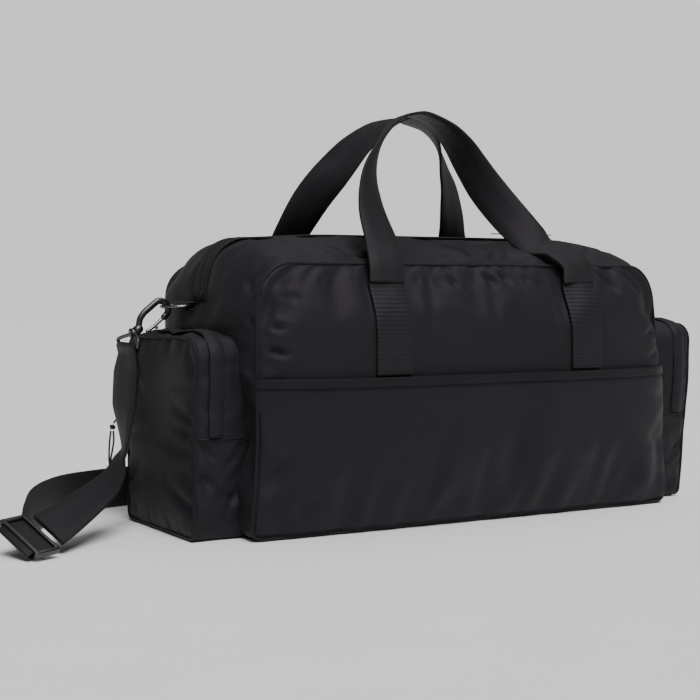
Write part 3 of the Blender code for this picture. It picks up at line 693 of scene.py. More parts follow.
FRONT_FOLDS = face_folds(
    (-2530, 2390, -2140, 2310, 33, 70), (-2530, 2060, -2160, 2000, 30, 57),
    (-2530, 1840, -2120, 1750, 35, 62), (-2530, 600, -2050, 860, 39, 30),
    (-2530, 300, -1900, 580, 43, 32), (-1870, 2620, -1900, 2420, 31, 43),
    (-1580, 2620, -1520, 2460, 26, 35), (-850, 2620, -780, 2430, 28, 41),
    (-660, 2620, -540, 2440, 28, 46), (-480, 2600, -210, 2260, 31, 68),
    (-40, 2610, 190, 2380, 30, 62), (190, 2600, 460, 2220, 31, 76),
    (420, 2620, 580, 2460, 28, 46), (660, 2620, 740, 2400, 31, 41),
    (880, 2620, 920, 2460, 26, 35), (1520, 2600, 1800, 2320, 41, 59),
    (1860, 2620, 2140, 2380, 47, 68), (2530, 1960, 2120, 1900, 36, 65),
    (2530, 2280, 2200, 2160, 39, 54), (2530, 1700, 2050, 1640, 39, 41))
POCKET_FOLDS = face_folds(
    (-2520, 520, -1700, 1040, 75, 34), (-2500, 280, -1500, 660, 80, 30),
    (-2360, 60, -1800, 500, 70, 28), (-2520, 1100, -1950, 1240, 70, 28),
    (-2520, 1350, -2100, 1320, 50, 20), (-1100, 1500, -850, 1000, 100, 18),
    (600, 1500, 800, 900, 120, 18), (2550, 600, 1700, 1120, 90, 32),
    (2550, 300, 1500, 580, 100, 30), (2520, 1200, 1950, 1320, 70, 26),
    (2360, 60, 1860, 460, 80, 26), (-600, 40, -300, 400, 110, 18),
    (900, 40, 600, 360, 110, 18))
BACK_FOLDS = [((-a[0], -a[1], a[2]), (-b[0], -b[1], b[2]), width, depth * 0.8)
              for a, b, width, depth in FRONT_FOLDS]
END_FOLDS = [
    ((-0.262, -0.108, 0.205), (-0.250, -0.070, 0.228), 0.0042, 0.0040),
    ((-0.262, -0.108, 0.232), (-0.246, -0.074, 0.252), 0.0042, 0.0040),
    ((-0.262, 0.108, 0.210), (-0.250, 0.066, 0.236), 0.0045, 0.0036),
    ((0.262, -0.108, 0.206), (0.256, -0.066, 0.232), 0.0045, 0.0042),
    ((0.258, -0.108, 0.236), (0.246, -0.070, 0.254), 0.0045, 0.0040),
    ((0.262, 0.108, 0.206), (0.256, 0.060, 0.236), 0.0045, 0.0036),
    ((-0.258, -0.108, 0.158), (-0.258, -0.080, 0.172), 0.0040, 0.0028),
]


TOP_FOLDS_SEED = 11


def top_folds(count=44):
    """Small slanting creases scattered over the arched top, on both sides of the zip."""
    scatter = random.Random(TOP_FOLDS_SEED)
    folds = []
    for number in range(count):
        side = -1 if number % 2 else 1
        x = -0.215 + 0.430 * (number + scatter.uniform(-0.3, 0.3)) / count
        y = side * scatter.uniform(0.040, 0.096)
        turn = math.radians(scatter.uniform(20, 62)) * scatter.choice((-1, 1))
        reach = scatter.uniform(0.010, 0.021)
        ends = []
        for way in (-1, 1):
            a, b = x + way * reach * math.cos(turn), y + way * reach * math.sin(turn)
            b = side * min(HALF_DEPTH - 0.006, max(0.026, abs(b)))
            ends.append(tuple(slump(Vector((a, b, SEAM_HEIGHT + crown(a, b))))))
        folds.append((*ends, scatter.uniform(0.0030, 0.0046), scatter.uniform(0.0026, 0.0050)))
    return folds


def build_body():
    outline = (HALF_LENGTH - 0.0015, 0.0006, SEAM_HEIGHT - 0.001, BASE_CORNER, BODY_CORNER)
    depth = HALF_DEPTH - 0.0022
    bm, seams = shell_bm(outline, -depth, depth, 0.0062, body_shape,
                         lambda across, out, up: slump(Vector((across, out, up))))
    data = mesh_of(bm, "body_shell")
    held = {v.index for v in data.vertices if v.co.z < 0.0035 or near_zip(v.co)}
    data = subdivided(puff(data, held | seams, 0.9, 0.035, 0.0070))
    crease(data, FRONT_FOLDS + END_FOLDS + BACK_FOLDS, body_hold)
    crease(data, top_folds(), body_hold, free=True)
    shell = add_piece("body_shell", data, NYLON, "bag", "nylon", "front_panel", "back_panel",
                      "bottom_panel", "end_panel_left", "end_panel_right", "top_panel_front",
                      "top_panel_back")
    return surface(data)


def perimeter(outline, steps=10):
    """Rounded outline as (across, up), counter-clockwise from the lower right corner."""
    half, base, top, low_corner, high_corner = outline
    points = []
    for across, up, radius, start in ((half - low_corner, base + low_corner, low_corner, -90),
                                      (half - high_corner, top - high_corner, high_corner, 0),
                                      (high_corner - half, top - high_corner, high_corner, 90),
                                      (low_corner - half, base + low_corner, low_corner, 180)):
        for angle in between(start, start + 90, steps):
            cos, sin = polar(angle)
            points.append((across + radius * cos, up + radius * sin))
    dense = []
    for (a, b), (c, d) in zip(points, points[1:] + points[:1]):
        count = max(1, round(math.hypot(c - a, d - b) / 0.008))
        dense += [(a + (c - a) * i / count, b + (d - b) * i / count) for i in range(count)]
    return dense


def build_body_piping():
    inner = 1 - 0.0016 / HALF_LENGTH
    outline = perimeter((HALF_LENGTH, PIPING + 0.0003, SEAM_HEIGHT, BASE_CORNER, BODY_CORNER))
    for side, face in FACES:
        route = []
        for x, z in outline:
            waver = ripple((x, side, z), 30.0, 0.0016) if z > 0.01 else 0.0
            y = side * (HALF_DEPTH - 0.0026) + waver
            route.append(slump(Vector((x * inner, y, z + waver * 0.4))))
        tube(f"{face}_piping_cord", route, PIPING * 0.66, NYLON, "bag", "piping", f"{face}_piping",
             closed=True)


# ---------------------------------------------------------------- front pocket, legs and zip
def face_rows(tree, columns, heights, lift, side=-1):
    """Rows of points draped on a big face."""
    return [[drape(tree, Vector((x, side * 0.13, z)), ALONG_Y * -side, lift) for x in xs]
            for z, xs in zip(heights, columns)]


def sheet_solid(name, rows, thick, material, slot, replaced, flip=False, bevel=0.0004):
    """Sheet through rows of points, thickened outwards, with a UV map in metres."""
    bm = bmesh.new()
    layer = bm.loops.layers.uv.new("UVMap")
    grid = [[bm.verts.new(point) for point in row] for row in rows]
    for j in range(len(grid) - 1):
        for i in range(len(grid[0]) - 1):
            corners = [(j, i), (j, i + 1), (j + 1, i + 1), (j + 1, i)][::-1 if flip else 1]
            face = bm.faces.new([grid[a][b] for a, b in corners])
            for loop, (a, b) in zip(face.loops, corners):
                spot = rows[a][b]
                loop[layer].uv = (spot.x + spot.y, spot.z)
    item = new_object("thickening", mesh_of(bm, name))
    solid = item.modifiers.new("Thickness", "SOLIDIFY")
    solid.thickness = thick
    solid.offset = 1.0
    edges = item.modifiers.new("Edges", "BEVEL")
    edges.width = bevel
    edges.segments = 2
    edges.limit_method = "ANGLE"
    return add_piece(name, baked(item), material, "bag", slot, replaced)


def spread_at(reach, z, count=84):
    """Stations along the front at height z, following the slumped ends."""
    left, right = (slump(Vector((x, 0, z))).x for x in (-reach, reach))
    return between(left, right, count)


def build_front_pocket(tree):
    reach = HALF_LENGTH - 0.0045
    heights = between(0.0075, HEM_TOP - 0.002, 26)
    rows = face_rows(tree, [spread_at(reach, z) for z in heights], heights, 0.0016)
    flat = np.array([point for row in rows for point in row])
    pressed = fold_depth(flat, POCKET_FOLDS).reshape(len(rows), -1)
    for row, z, dips in zip(rows, heights, pressed):
        rise = (z / HEM_TOP) ** 3
        for point, dip in zip(row, dips):
            along = max(0.0, 1 - abs(point.x / reach) ** 6)
            sway = ripple((point.x * 1.6, 7.0, point.z * 0.5), 12.0, 0.0020)
            near = min(1.0, (reach - abs(point.x)) / 0.006) * min(1.0, z / 0.02)
            point.y -= along * (0.0012 * rise + (sway + 0.0016) * min(1.0, z / 0.03))
            point.y -= dip * max(0.0, near)
    cut_width = sum(route_length(row) for row in rows) / len(rows)
    cut_height = sum(route_length(list(column)) for column in zip(*rows)) / len(rows[0])
    item = sheet_solid("front_pocket_cloth", rows, 0.0010, NYLON, "nylon", "front_pocket_panel")
    pocket, ahead = surface(item.data), -0.17
    hem_rows = []
    for z in between(HEM_LOW, HEM_TOP, 4):
        row = []
        for x in spread_at(reach - 0.0004, z):
            point = drape(pocket, Vector((x, ahead, min(z, HEM_TOP - 0.0030))), ALONG_Y, 0.0008)
            if point.y < ahead + 0.001:  # the pocket's mouth is missed: the body is met instead
                point = drape(tree, Vector((x, ahead, z)), ALONG_Y, 0.0030)
            row.append(Vector((x, point.y, z)))
        hem_rows.append(row)
    hem = sheet_solid("front_pocket_binding", hem_rows, 0.0014, NYLON_DARK, "webbing",
                      "front_pocket_hem", bevel=0.0005)
    rows = [([point + Vector((0, -0.0019, 0.0004 * (index - 2))) for point in hem_rows[index]],
             -ALONG_Y) for index in (1, 3)]
    sewn = stitches("front_pocket_hem_stitching", rows, "bag")


def build_legs(tree):
    heights = between(LEG_LOW, LEG_TOP + 0.0004, 26)
    half = LEG_HALF - 0.0004
    for side, face in FACES:
        for hand, end in ENDS:
            columns = [between(hand * LEG_X - half, hand * LEG_X + half, 8)] * len(heights)
            rows = settle_rows(face_rows(tree, columns, heights, 0.0004, side), side)
            name = f"handle_leg_{face}_{end}"
            sheet_solid(name + "_webbing", rows, 0.0030, WEBBING_SEWN, "webbing", name, side > 0)
            leg_stitching(name, rows, side)


def settle_rows(rows, side):
    """Webbing bridges small folds: each row is eased towards its neighbours."""
    for _ in range(6):
        eased = [[point.copy() for point in row] for row in rows]
        for j, row in enumerate(rows):
            for i, point in enumerate(row):
                around = [rows[b][a] for a, b in ((i - 1, j), (i + 1, j), (i, j - 1), (i, j + 1))
                          if 0 <= a < len(row) and 0 <= b < len(rows)]
                mean = sum(p.y for p in around) / len(around)
                eased[j][i].y = side * max(side * point.y, side * (0.4 * point.y + 0.6 * mean))
        rows = eased
    return rows


def leg_stitching(name, rows, side):
    """Two rows along the edges, three across, and a cross in the lower box."""
    outward = ALONG_Y * side
    foot, box = 2, 8
    lines = [[row[column] + Vector((inset, 0, 0)) for row in rows]
             for column, inset in ((0, 0.0022), (-1, -0.0022))]
    lines += [rows[j][1:-1] for j in (foot, foot + box, len(rows) - 3)]
    for start, stop in ((1, -2), (-2, 1)):
        steps = []
        for i in range(11):
            spot = rows[foot][start].lerp(rows[foot + box][stop], i / 10)
            nearest = min(rows[foot + round(box * i / 10)], key=lambda p: abs(p.x - spot.x))
            steps.append(Vector((spot.x, nearest.y, spot.z)))
        lines.append(steps)
    rows = [([point + outward * 0.0029 for point in line], outward) for line in lines]
    stitches(name + "_stitching", rows, "bag")


def band_path(lift, cell=0.004):
    """Crest of the arched top seen from the front: points (x, z, share of the crown)."""
    radius = BODY_CORNER + lift
    centre = (HALF_LENGTH - BODY_CORNER, SEAM_HEIGHT - BODY_CORNER)
    turns = [polar(90 * i / 12) for i in range(13)]
    right = [(centre[0] + radius * cos, centre[1] + radius * sin, sin) for cos, sin in turns]
    count = round(2 * centre[0] / cell)
    flat = [(centre[0] - 2 * centre[0] * i / count, SEAM_HEIGHT + lift, 1.0)
            for i in range(1, count)]
    return right + flat + [(-x, z, s) for x, z, s in reversed(right)]


def crest_line(y, lift):
    return [slump(Vector((x, y, z + s * crown(x, y)))) for x, z, s in band_path(lift)]


def build_main_zip():
    for side, face in FACES:
        line = crest_line(side * 0.0072, 0.0002)
        replaced = ["main_zipper_tape"] if side < 0 else []
        ribbon(f"main_zip_tape_{face}", line, [ALONG_Y] * len(line), 0.0090, 0.0007, TAPE, "bag",
               "zip_tape", *replaced)
        tube(f"main_zip_welt_{face}", crest_line(side * 0.0132, -0.0002), 0.0013, NYLON, "bag",
             "nylon", sides=8)
    add_piece("main_zip_coil", coil_teeth(crest_line(0.0, 0.0004), ALONG_Y, 0.0026, 0.0010), COIL,
              "bag", "zip_teeth", "main_zipper_teeth")
    rows = []
    for y in (-0.0175, 0.0175):
        normals = [way.cross(ALONG_Y).normalized() for way in tangents(crest_line(y, 0.0))]
        rows.append((crest_line(y, 0.0004), normals))
    stitches("main_zip_stitching", rows, "bag", "nylon")


def coil_teeth(line, across, half, height, pitch=0.0017):
    """Interlocked coil: short rounded bars across the zip, shifted to each side in turn."""
    bm = bmesh.new()
    for number, (_, centre, way) in enumerate(stations(line, pitch)):
        up = way.cross(across).normalized()
        turn = Matrix((way * pitch * 0.62, across * half * 2, up * height)).transposed().to_4x4()
        turn.translation = centre + across * (0.0005 if number % 2 else -0.0005)
        box = bmesh.ops.create_cube(bm, size=1.0)["verts"]
        bmesh.ops.transform(bm, matrix=turn, verts=box)
    bmesh.ops.recalc_face_normals(bm, faces=bm.faces)
    bmesh.ops.bevel(bm, geom=list(bm.edges), offset=0.00022, segments=1, affect="EDGES")
    return bm


# ---------------------------------------------------------------- end pockets
FACE_CREASES = (  # hand of the seam; up, run inwards, up at the end, width, depth in tenths of a mm
    (-1, 1490, 440, 1440, 45, 26), (-1, 1130, 460, 1280, 50, 36), (-1, 1020, 400, 1040, 42, 26),
    (-1, 830, 740, 860, 55, 32), (-1, 300, 600, 520, 60, 30), (1, 1500, 500, 1400, 55, 30),
    (1, 900, 600, 1000, 60, 30), (1, 400, 500, 600, 60, 26))
GUSSET_CREASES = (  # out and up of the start and of the end, width, depth in tenths of a mm
    (3030, 960, 2840, 700, 36, 30), (2620, 900, 2820, 600, 36, 28), (3000, 600, 2700, 380, 40, 28),
    (2620, 500, 2800, 220, 36, 24), (2680, 1700, 2700, 1200, 40, 18))
TOP_CREASES = (  # out and back of the start and of the end, width, depth in tenths of a mm
    (2640, -500, 2640, 400, 46, 28), (2740, -600, 2760, 200, 36, 20))


def pocket_folds(side):
    """Creases at the outer face's seams, then on the front gusset, then on the top."""
    x, half, top = side * POCKET_OUT, POCKET_HALF, POCKET_HIGH
    folds = []
    for (hand, *_), (_, a, run, b, width, depth) in zip(FACE_CREASES, metres(FACE_CREASES)):
        folds.append(((x, hand * half, a), (x, hand * (half - run), b), width, depth))
    for a, b, c, d, width, depth in metres(GUSSET_CREASES):
        folds.append(((side * a, -half, b), (side * c, -half, d), width, depth))
    for a, b, c, d, width, depth in metres(TOP_CREASES):
        folds.append(((side * a, b, top), (side * c, d, top), width, depth))
    return folds


def pocket_fill(side, across, up):
    """How much (wider, taller) a pocket is: the right one swells at its upper front corner and
    narrows at the ground, the left one swells less."""
    full, narrow = (1.0, 0.004) if side > 0 else (0.30, 0.0)
    fore = ease(-across / 0.05)
    wider = narrow * (1 - ease(up / 0.05)) - 0.0088 * full * ease((up - 0.04) / 0.12)
    return wider * fore, 0.008 * full * fore * ease((up - 0.13) / 0.06)


def build_pocket(side, end):
    def filled(across, out, up):
        wider, taller = pocket_fill(side, across, up)
        return Vector((side * out, across + wider, up + taller))

    def shape(face, across, up, depth):
        if face < 0:
            return 0.0, 0.0, 0.0
        if face > 0:
            puffed = 0.0030 + ripple((across, up, side), 22.0, 0.0014)
            return 0.0, puffed * looseness(across, up, POCKET_HALF, POCKET_HIGH, 3), 0.0
        share = (depth - POCKET_IN) / (POCKET_OUT - POCKET_IN)
        swell = 4 * share * (1 - share) * 0.0022
        aside = math.copysign(1, across) * swell * clamp((up - 0.01) / 0.02)
        return (aside if abs(across) > POCKET_HALF - POCKET_CORNER else 0.0, 0.0,
                swell if up > POCKET_HIGH - POCKET_CORNER else 0.0)

    def still(point):
        if point.z <= 0.006:
            return 0.0
        if abs(point.x) > POCKET_OUT - 0.004:
            return clamp(min(POCKET_HALF - abs(point.y), POCKET_HIGH - point.z) / 0.008)
        return clamp(abs(abs(point.x) - POCKET_OUT + 0.003) / 0.008)

    corners = (POCKET_BASE_CORNER, POCKET_CORNER)
    outline = (POCKET_HALF - 0.0008, 0.0006, POCKET_HIGH - 0.0008, *corners)
    bm, seams = shell_bm(outline, POCKET_IN - 0.0120, POCKET_OUT - 0.0030, 0.0048, shape, filled)
    data = mesh_of(bm, f"end_pocket_{end}")
    held = {v.index for v in data.vertices if v.co.z < 0.0035 or abs(v.co.x) < POCKET_IN + 0.001}
    data = subdivided(puff(data, held | seams, 0.6, 0.030, 0.0030, 14))
    crease(data, pocket_folds(side), still)
    shell = add_piece(f"end_pocket_{end}_cloth", data, NYLON, "bag", "nylon",
                      f"end_pocket_face_{end}", f"end_pocket_gusset_{end}")
    outline = (POCKET_HALF - 0.0012, PIPING + 0.0003, POCKET_HIGH - 0.0012, *corners)
    route = [filled(y, POCKET_OUT - 0.0028 + ripple((y, z, side), 40.0, 0.0010), z)
             for y, z in perimeter(outline)]
    # Darker nylon on the piping: painted seam shade.
    tube(f"end_pocket_piping_{end}_cord", route, 0.0018, NYLON_DARK, "bag", "piping",
         f"end_pocket_piping_{end}", closed=True)
    build_pocket_zip(side, end, surface(data))


def pocket_zip_route(tree, side, x, lift):
    """Line over a pocket's gusset at x, from its front to its back, and its outward directions."""
    inner, top = POCKET_HALF - POCKET_CORNER, POCKET_HIGH - POCKET_CORNER
    run = [(POCKET_HALF, z, 0) for z in between(POCKET_ZIP_LOW, top, 20)]
    for angle in between(0, 90, 8)[1:]:
        cos, sin = polar(angle)
        run.append((inner + POCKET_CORNER * cos, top + POCKET_CORNER * sin, angle))
    run += [(y, POCKET_HIGH, 90) for y in between(inner, 0.0, 14)[1:]]
    points, outs = [], []
    for y, z, angle in [(-y, z, 180 - a) for y, z, a in run] + run[-2::-1]:
        out = Vector((0, *polar(angle)))
        wider, taller = pocket_fill(side, y, z)
        points.append(drape(tree, Vector((side * x, y + wider, z + taller)), -out, lift))
        outs.append(out)
    return points, outs


def build_pocket_zip(side, end, tree):
    points, outs = pocket_zip_route(tree, side, POCKET_ZIP_X, 0.0004)
    ribbon(f"end_pocket_zip_tape_{end}", points, [ALONG_X] * len(points), 0.0086, 0.0006, TAPE,
           "bag", "zip_tape", f"end_pocket_zipper_{end}")
    lifted = [point + out * 0.0006 for point, out in zip(points, outs)]
    add_piece(f"end_pocket_zip_coil_{end}", coil_teeth(lifted, ALONG_X, 0.0016, 0.0007), COIL,
              "bag", "zip_teeth")
    for offset, label in ((-0.0034, "inner"), (0.0034, "outer")):
        edge, _ = pocket_zip_route(tree, side, POCKET_ZIP_X + offset, 0.0002)
        tube(f"end_pocket_zip_welt_{label}_{end}", edge, 0.0012, NYLON, "bag", "nylon", sides=8)
    flap = [point + out * 0.0010 for point, out in zip(points, outs) if point.y < 0.030]
    ribbon(f"end_pocket_storm_flap_{end}", flap, [ALONG_X] * len(flap), 0.0156, 0.0008, NYLON,
           "bag", "nylon", cup=0.0012, edge=0.0003)
    rows = [pocket_zip_route(tree, side, POCKET_ZIP_X + offset, 0.0003)
            for offset in (-0.0098, 0.0098)]
    for hand, face in FACES:
        seam_z = POCKET_ZIP_LOW - 0.002
        line = [drape(tree, Vector((side * x, hand * POCKET_HALF, seam_z)), ALONG_Y * -hand, 0.0001)
                for x in between(POCKET_IN + 0.002, POCKET_OUT - 0.006, 16)]
        # Darker nylon on the seam line: painted shade along the seam.
        tube(f"end_pocket_seam_{face}_{end}", line, 0.0009, NYLON_DARK, "bag", "nylon", sides=8)
        below = Vector((0, hand * 0.0003, -0.0035))
        rows.append(([point + below for point in line], ALONG_Y * hand))
    stitches(f"end_pocket_stitching_{end}", rows, "bag", "nylon")


# ---------------------------------------------------------------- handles
def handle_route(side, lean):
    """From the left leg over the crest to the right leg; lean shifts the raised part along x."""
    foot_y, foot_z = abs(low("handle_front").y) - 0.0015, low("handle_front").z
    points = [(-LEG_X, foot_y, foot_z), (-LEG_X + 0.0005, foot_y - 0.0020, 0.264),
              (-0.1168, 0.1070, 0.2820), (-0.1150, 0.0860, 0.3130), (-0.1085, 0.0700, 0.3390),
              (-0.0940, 0.0520, 0.3656), (-0.0745, 0.0370, 0.3930), (-0.0499, 0.0255, 0.4145),
              (-0.0260, 0.0225, 0.4235), (-0.0082, 0.0225, 0.4205), (0.0105, 0.0240, 0.4110),
              (0.0262, 0.0290, 0.3934), (0.0398, 0.0370, 0.3690), (0.0528, 0.0460, 0.3456),
              (0.0720, 0.0630, 0.3150), (0.0906, 0.0830, 0.2890), (0.1070, 0.1020, 0.2790),
              (0.1185, foot_y - 0.0036, 0.2650), (LEG_X, foot_y, foot_z)]
    return smooth_route([(x + lean * ease((z - foot_z) / 0.10), side * y, z)
                         for x, y, z in points], 8)


def build_handle(side, face, lean):
    route = handle_route(side, lean)
    last, ways = len(route) - 1, tangents(route)
    across = []
    for i, tangent in enumerate(ways):
        hand = 1 if i < last / 2 else -1
        power = 0.75 if side > 0 > hand else 1.3  # the back handle's right leg twists sooner
        turn = math.radians(90 * min(1.0, abs(2 * i / last - 1) / 0.80) ** power)
        way = Vector((hand * math.sin(turn), -side * math.cos(turn), 0))
        across.append(square_to(way, tangent))
    ribbon(f"handle_{face}_webbing", route, across, 2 * LEG_HALF, 0.0028, WEBBING, f"{face}_handle",
           "webbing", f"handle_{face}", cup=0.0003)
    rows = []
    for edge in (-1, 1):
        for lift in (-1, 1):
            outs = [way.cross(tangent).normalized() * lift for way, tangent in zip(across, ways)]
            rows.append(([point + way * edge * (LEG_HALF - 0.0026) + out * 0.0015
                          for point, way, out in zip(route, across, outs)], outs))
    stitches(f"handle_{face}_stitching", rows, f"{face}_handle")


# ---------------------------------------------------------------- end hardware
def end_points(side):
    """D-ring's bar and bow, the hook's base, and the directions along and above the hook."""
    bar = Vector((side * (low("d_ring_right").x + WIRE), HARDWARE_Y, 0.2215))
    bow = Vector((side * (high("d_ring_right").x - WIRE), HARDWARE_Y, 0.2207))
    base = Vector((side * 0.3225, HARDWARE_Y, 0.1985))
    run = (bow - base).normalized()
    return bar, bow, base, run, Vector((side * run.z, 0, -side * run.x))


def build_ring(side, end):
    bar, bow = end_points(side)[:2]
    half = half_span("d_ring_right", 1) - WIRE
    near, depth, drop = abs(bar.x), abs(bow.x) - abs(bar.x), bow.z - bar.z
    outline = [(0.0, -half * t) for t in between(-0.9, 0.9, 8)]
    for cos, sin in map(polar, between(84, -84, 22)):
        outline.append((depth * cos, -half * sin))
    route = [Vector((side * (near + out), HARDWARE_Y - across, bar.z + drop * out / depth))
             for out, across in outline]
    route = [point.lerp((route[i - 1] + route[(i + 1) % len(route)]) / 2, 0.5)
             for i, point in enumerate(route)]
    # The D-ring takes the lighter gunmetal copy: painted highlight.
    tube(f"d_ring_{end}_metal", route, WIRE, METAL_PAINTED_HIGHLIGHT, f"ring_{end}", "gunmetal",
         f"d_ring_{end}", closed=True, sides=14)
    wrap = WIRE + 0.0004 + 0.0009
    upper = between(HALF_LENGTH - 0.016, near - 0.004, 5)
    path = [(x, bar.z + wrap + 0.0006) for x in upper]
    for cos, sin in map(polar, between(100, -100, 14)):
        path.append((near + wrap * cos, bar.z + wrap * sin))
    path += [(x, bar.z - wrap - 0.0002) for x in between(near - 0.004, HALF_LENGTH - 0.016, 5)]
    ribbon(f"d_ring_tab_{end}_webbing", [Vector((side * x, HARDWARE_Y, z)) for x, z in path],
           [ALONG_Y] * len(path), 2 * TAB_HALF, 0.0017, WEBBING, "bag", "webbing",
           f"d_ring_tab_{end}")
    line = [Vector((side * (near - 0.0064), y, bar.z + wrap + 0.0016))
            for y in between(HARDWARE_Y - TAB_HALF + 0.002, HARDWARE_Y + TAB_HALF - 0.002, 4)]
    stitches(f"d_ring_tab_{end}_stitching", [(line, Vector((0, 0, 1)))], "bag", pitch=0.0030,
             length=0.0023)


def build_hook(side, end):
    base, run, above = end_points(side)[2:]
    half = 0.0085

    def spot(along, up):
        return base + run * along + above * up

    arm = [(0.0, 0.0), (0.004, 0.0030), (0.009, 0.0068), (0.016, half), (0.024, half)]
    arm += [(0.0310 + half * sin, half * cos) for cos, sin in map(polar, range(12, 157, 24))]
    route = smooth_route([spot(a, b) for a, b in arm + [(0.0290, -half)]], 4)
    collar = [(-0.0108, 0.0022), (-0.0104, 0.0034), (-0.0092, 0.0034), (-0.0088, 0.0019),
              (-0.0036, 0.0019), (-0.0034, 0.0042), (-0.0026, 0.0047), (0.0024, 0.0046),
              (0.0046, 0.0032), (0.0052, 0.0018)]
    add_piece(f"snap_hook_{end}_metal", merged(tube_bm(route, 0.0033, sides=14, squash=0.82),
                                               turned_bm(collar, base, run)),
              METAL, f"hook_{end}", "gunmetal", f"snap_hook_{end}")
    line = [spot(0.0255, -half), spot(0.0150, -half - 0.0003), spot(0.0065, -0.0078)]
    profile = [(-0.0012, 0.0009), (0.0, 0.0017), (0.0014, 0.0017), (0.0022, 0.0010)]
    knob = turned_bm(profile, spot(0.0165, -half - 0.0022), -above, 14)
    # The gate takes the lighter gunmetal copy: painted highlight.
    add_piece(f"hook_gate_{end}_metal", merged(tube_bm(smooth_route(line, 5), 0.0017), knob),
              METAL_PAINTED_HIGHLIGHT, f"gate_{end}", "gunmetal", f"hook_gate_{end}")
    build_loop(side, end, spot(-0.0060, 0), base, run)


def build_loop(side, end, neck, base, run):
    """Strap loop: a wire triangle that hangs from the hook's swivel, and the swivel's collar."""
    half, edge = 0.0245, 0.0046
    bar = Vector((side * LOOP_BAR[0], LOOP_BAR[1], LOOP_BAR[2]))
    left, right = [[neck + Vector((0, hand * 0.0052, -0.0006))]
                   + [bar + Vector((0, hand * y, z)) for y, z in (
                       (half, edge * 1.5), (half, edge * 0.6), (half - 0.0016, 0), (half / 2, 0))]
                   for hand in (-1, 1)]
    wire = tube_bm(smooth_route(left + [bar] + right[::-1], 4), WIRE)
    collar = [(-0.0080, 0.0030), (-0.0080, 0.0052), (-0.0072, 0.0060), (-0.0048, 0.0060),
              (-0.0040, 0.0052), (-0.0040, 0.0030)]
    add_piece(f"strap_loop_{end}_metal", merged(wire, turned_bm(collar, base, run)), METAL, "strap",
              "gunmetal", f"strap_loop_{end}")


# ---------------------------------------------------------------- shoulder strap
ADJUSTER_AT = Vector((-0.4640, -0.0685, 0.0185))
FRONT_RUN = [(-0.3285, 0.030, 0.1740), (-0.3280, 0.036, 0.1530), (-0.3279, 0.041, 0.1225),
             (-0.3285, 0.040, 0.1025), (-0.3330, 0.030, 0.0810), (-0.3440, 0.015, 0.0660),
             (-0.3620, -0.005, 0.0520), (-0.3920, -0.025, 0.0385), (-0.4220, -0.045, 0.0275),
             (-0.4430, -0.0585, 0.0212)]
FRONT_TURN = ((0.0, (0, 1, 0)), (0.10, (-0.15, 0.99, 0)), (0.22, (-0.12, 0.99, 0)),
              (0.33, (0.10, 0.99, 0)), (0.48, (0.38, 0.92, 0.10)), (0.56, (0.16, 0.95, 0.20)),
              (0.75, (0, 0.90, 0.40)), (1.0, (-0.33, 0.82, 0.46)))
LONG_RUN = [(-0.4510, -0.0634, 0.0192), tuple(ADJUSTER_AT), (-0.4756, -0.0729, 0.0179),
            (-0.4803, -0.0737, 0.0152), (-0.4780, -0.0700, 0.0126), (-0.4700, -0.0655, 0.0122),
            (-0.4600, -0.0560, 0.0128), (-0.4520, -0.0370, 0.0155), (-0.4450, -0.0130, 0.0205),
            (-0.4238, 0.0359, 0.0240), (-0.3908, 0.0880, 0.0240), (-0.3556, 0.1260, 0.0235),
            (-0.3100, 0.1500, 0.0230), (-0.2500, 0.1605, 0.0228), (-0.1600, 0.1650, 0.0230),
            (-0.0500, 0.1655, 0.0232), (0.0600, 0.1655, 0.0232), (0.1600, 0.1620, 0.0232),
            (0.2450, 0.1500, 0.0245), (0.2950, 0.1290, 0.0310), (0.3260, 0.1020, 0.0470),
            (0.3380, 0.0780, 0.0750), (0.3370, 0.0570, 0.1080), (0.3310, 0.0420, 0.1400),
            (0.3285, 0.0320, 0.1650), (0.3285, 0.0300, 0.1740)]
LONG_TURN = ((0.0, (-0.33, 0.82, 0.46)), (0.16, (-0.33, 0.82, 0.46)), (0.24, (-0.24, 0.88, 0.40)),
             (0.28, (-0.12, 0.75, 0.65)), (0.32, (0, 0.50, 0.86)), (0.36, (0, 0.10, 0.99)),
             (0.46, (0, -0.20, 0.98)), (0.72, (0, -0.20, 0.98)), (0.80, (0, 0.25, 0.97)),
             (0.90, (0, 0.85, 0.50)), (1.0, (0, 1, 0)))
FIXED_END = 26  # route points of the right end that the sewn-back end of the webbing lies along


def blend_directions(keys, count):
    """Unit directions at count stations, straight between keys of (share, direction)."""
    result = []
    for i in range(count):
        share = i / (count - 1)
        for (s0, d0), (s1, d1) in zip(keys, keys[1:]):
            if share <= s1:
                result.append(Vector(d0).lerp(Vector(d1), (share - s0) / (s1 - s0)).normalized())
                break
    return result


def layer(route, across, offset):
    return [point + square_to(side, tangent).cross(tangent) * offset
            for point, tangent, side in zip(route, tangents(route), across)]


def fold_round(side, start, end):
    """Webbing's way round the bar of a strap loop, and its width directions there."""
    radius = WIRE + 0.0003 + STRAP_THICK / 2
    fold = [Vector((side * LOOP_BAR[0] + radius * cos, LOOP_BAR[1], LOOP_BAR[2] + radius * sin))
            for cos, sin in map(polar, between(start, end, 12))]
    return fold, [ALONG_Y] * len(fold)


